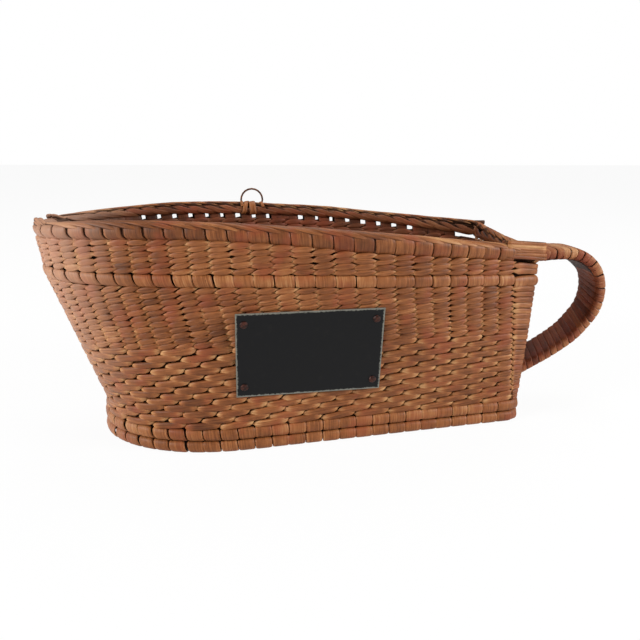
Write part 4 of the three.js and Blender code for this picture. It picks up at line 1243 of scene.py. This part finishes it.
def tarnished(name, dark, light, scale, roughness, swing, strength, distance, **constants):
    """Metal with tarnish in patches, rougher where it is lighter."""
    finish = Finish(name, **constants)
    tarnish = finish.noise(finish.node("TexCoord")["Object"], scale, detail=3)
    finish.paint(
        Base_Color=finish.mix(tarnish.step(0.35, 0.65), linear(dark), linear(light)),
        Roughness=tarnish * swing + roughness,
    )
    finish.bump(tarnish, strength, distance)
    return finish.material


copper = tarnished("copper", "#1f100c", "#472319", scale=800, roughness=0.3, swing=0.4,
                   strength=0.4, distance=0.0003, Metallic=0.3, Specular_IOR_Level=0.3)
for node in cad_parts:
    if node.startswith("rivet"):
        dress(node, copper)

# Hanging ring.
# A closed ring of thin browned wire on the far rim, to hang the basket by. Its lowest stretch lies
# under a lashing of skein: one broad strap, one laid askew and a narrow one at each side.
RING_BAY = 43
# How many bays from the ring's middle each strap lies and drifts, its first and last turn round the rim
# in degrees, and half its width.
STRAPS = ((0.0, 0.05, 228, -35, 2.4), (-0.42, 0.5, 222, 40, 1.5),
          (-0.62, 0.08, 150, 25, 1.0), (0.62, -0.08, 150, 25, 1.0))
STRAP_STATIONS = 24
STRAP_REACH, STRAP_THICKNESS, STRAP_TONE = 1.75, 0.45, 0.02
wire = tarnished("wire", "#4a2c1e", "#7d5238", scale=700, roughness=0.35, swing=0.3,
                 strength=0.3, distance=0.0002, Metallic=0.7, Specular_IOR_Level=0.5)
dress("hanging_ring", wire)
lashing = Bundle()
share = np.linspace(0, 1, STRAP_STATIONS)[None]
for middle, drift, start, end, width in STRAPS:
    turn = np.radians(start + (end - start) * share)
    bay = RING_BAY + middle + drift * (share - 0.5)
    path, _ = rim_section(bay, turn, STRAP_REACH)
    lashing.strands(path, rim_facing(bay, turn), width, STRAP_THICKNESS, STRAP_TONE)
lashing.piece("ring_lashing_straps", skein, "skein", "ring_lashing")

# Floor, lamps and background.
# White paper lies under the basket, lit so that the camera sees only the basket's shadow on it. A soft
# lamp stands in front at each side, and a weaker one above and behind. The background is plain white.
GLOW_SHARE = 0.94
SURROUND = 0.21
white = Finish("paper", Roughness=0.9, Specular_IOR_Level=0.0, Base_Color=(0.8, 0.8, 0.8, 1))
ray = white.node("LightPath")
seen = ray["Is Camera Ray"].most(ray["Is Glossy Ray"]).most(ray["Is Transmission Ray"])
glow = white.node("Emission", None, {"Color": (1, 1, 1, 1), "Strength": 1})["Emission"]
surface = Field(white, white.shader.outputs["BSDF"])
blended = white.node("MixShader", None, {0: seen * GLOW_SHARE, 1: surface, 2: glow})["Shader"]
white.feed(white.tree.nodes["Material Output"].inputs["Surface"], blended)
bpy.ops.mesh.primitive_plane_add(size=6, location=(0, 0, 0))
floor = bpy.context.object
floor.name = "studio_floor"
floor.data.materials.append(white.material)

world = bpy.data.worlds.new("studio")
bpy.context.scene.world = world
world.use_nodes = True
nodes, links = world.node_tree.nodes, world.node_tree.links
mix = nodes.new("ShaderNodeMix")
mix.data_type = "RGBA"
mix.inputs[6].default_value = (SURROUND, SURROUND, SURROUND, 1)
mix.inputs[7].default_value = (1, 1, 1, 1)
links.new(nodes.new("ShaderNodeLightPath").outputs["Is Camera Ray"], mix.inputs[0])
links.new(mix.outputs[2], nodes["Background"].inputs["Color"])


def lamp(name, place, aim, size, power):
    """A soft square lamp."""
    data = bpy.data.lights.new(name, "AREA")
    data.size = size
    data.energy = power
    made = bpy.data.objects.new(name, data)
    bpy.context.scene.collection.objects.link(made)
    made.location = place
    made.rotation_euler = (Vector(aim) - Vector(place)).to_track_quat("-Z", "Y").to_euler()


lamp("left", (-1.25, -0.5, 0.62), (-0.05, 0, 0.06), size=0.5, power=20)
lamp("right", (1.2, -0.52, 0.55), (0.05, 0, 0.06), size=0.5, power=19)
lamp("above", (0.2, 0.5, 1.2), (0, 0, 0.08), size=0.8, power=7)

bpy.context.scene.view_settings.view_transform = "Standard"
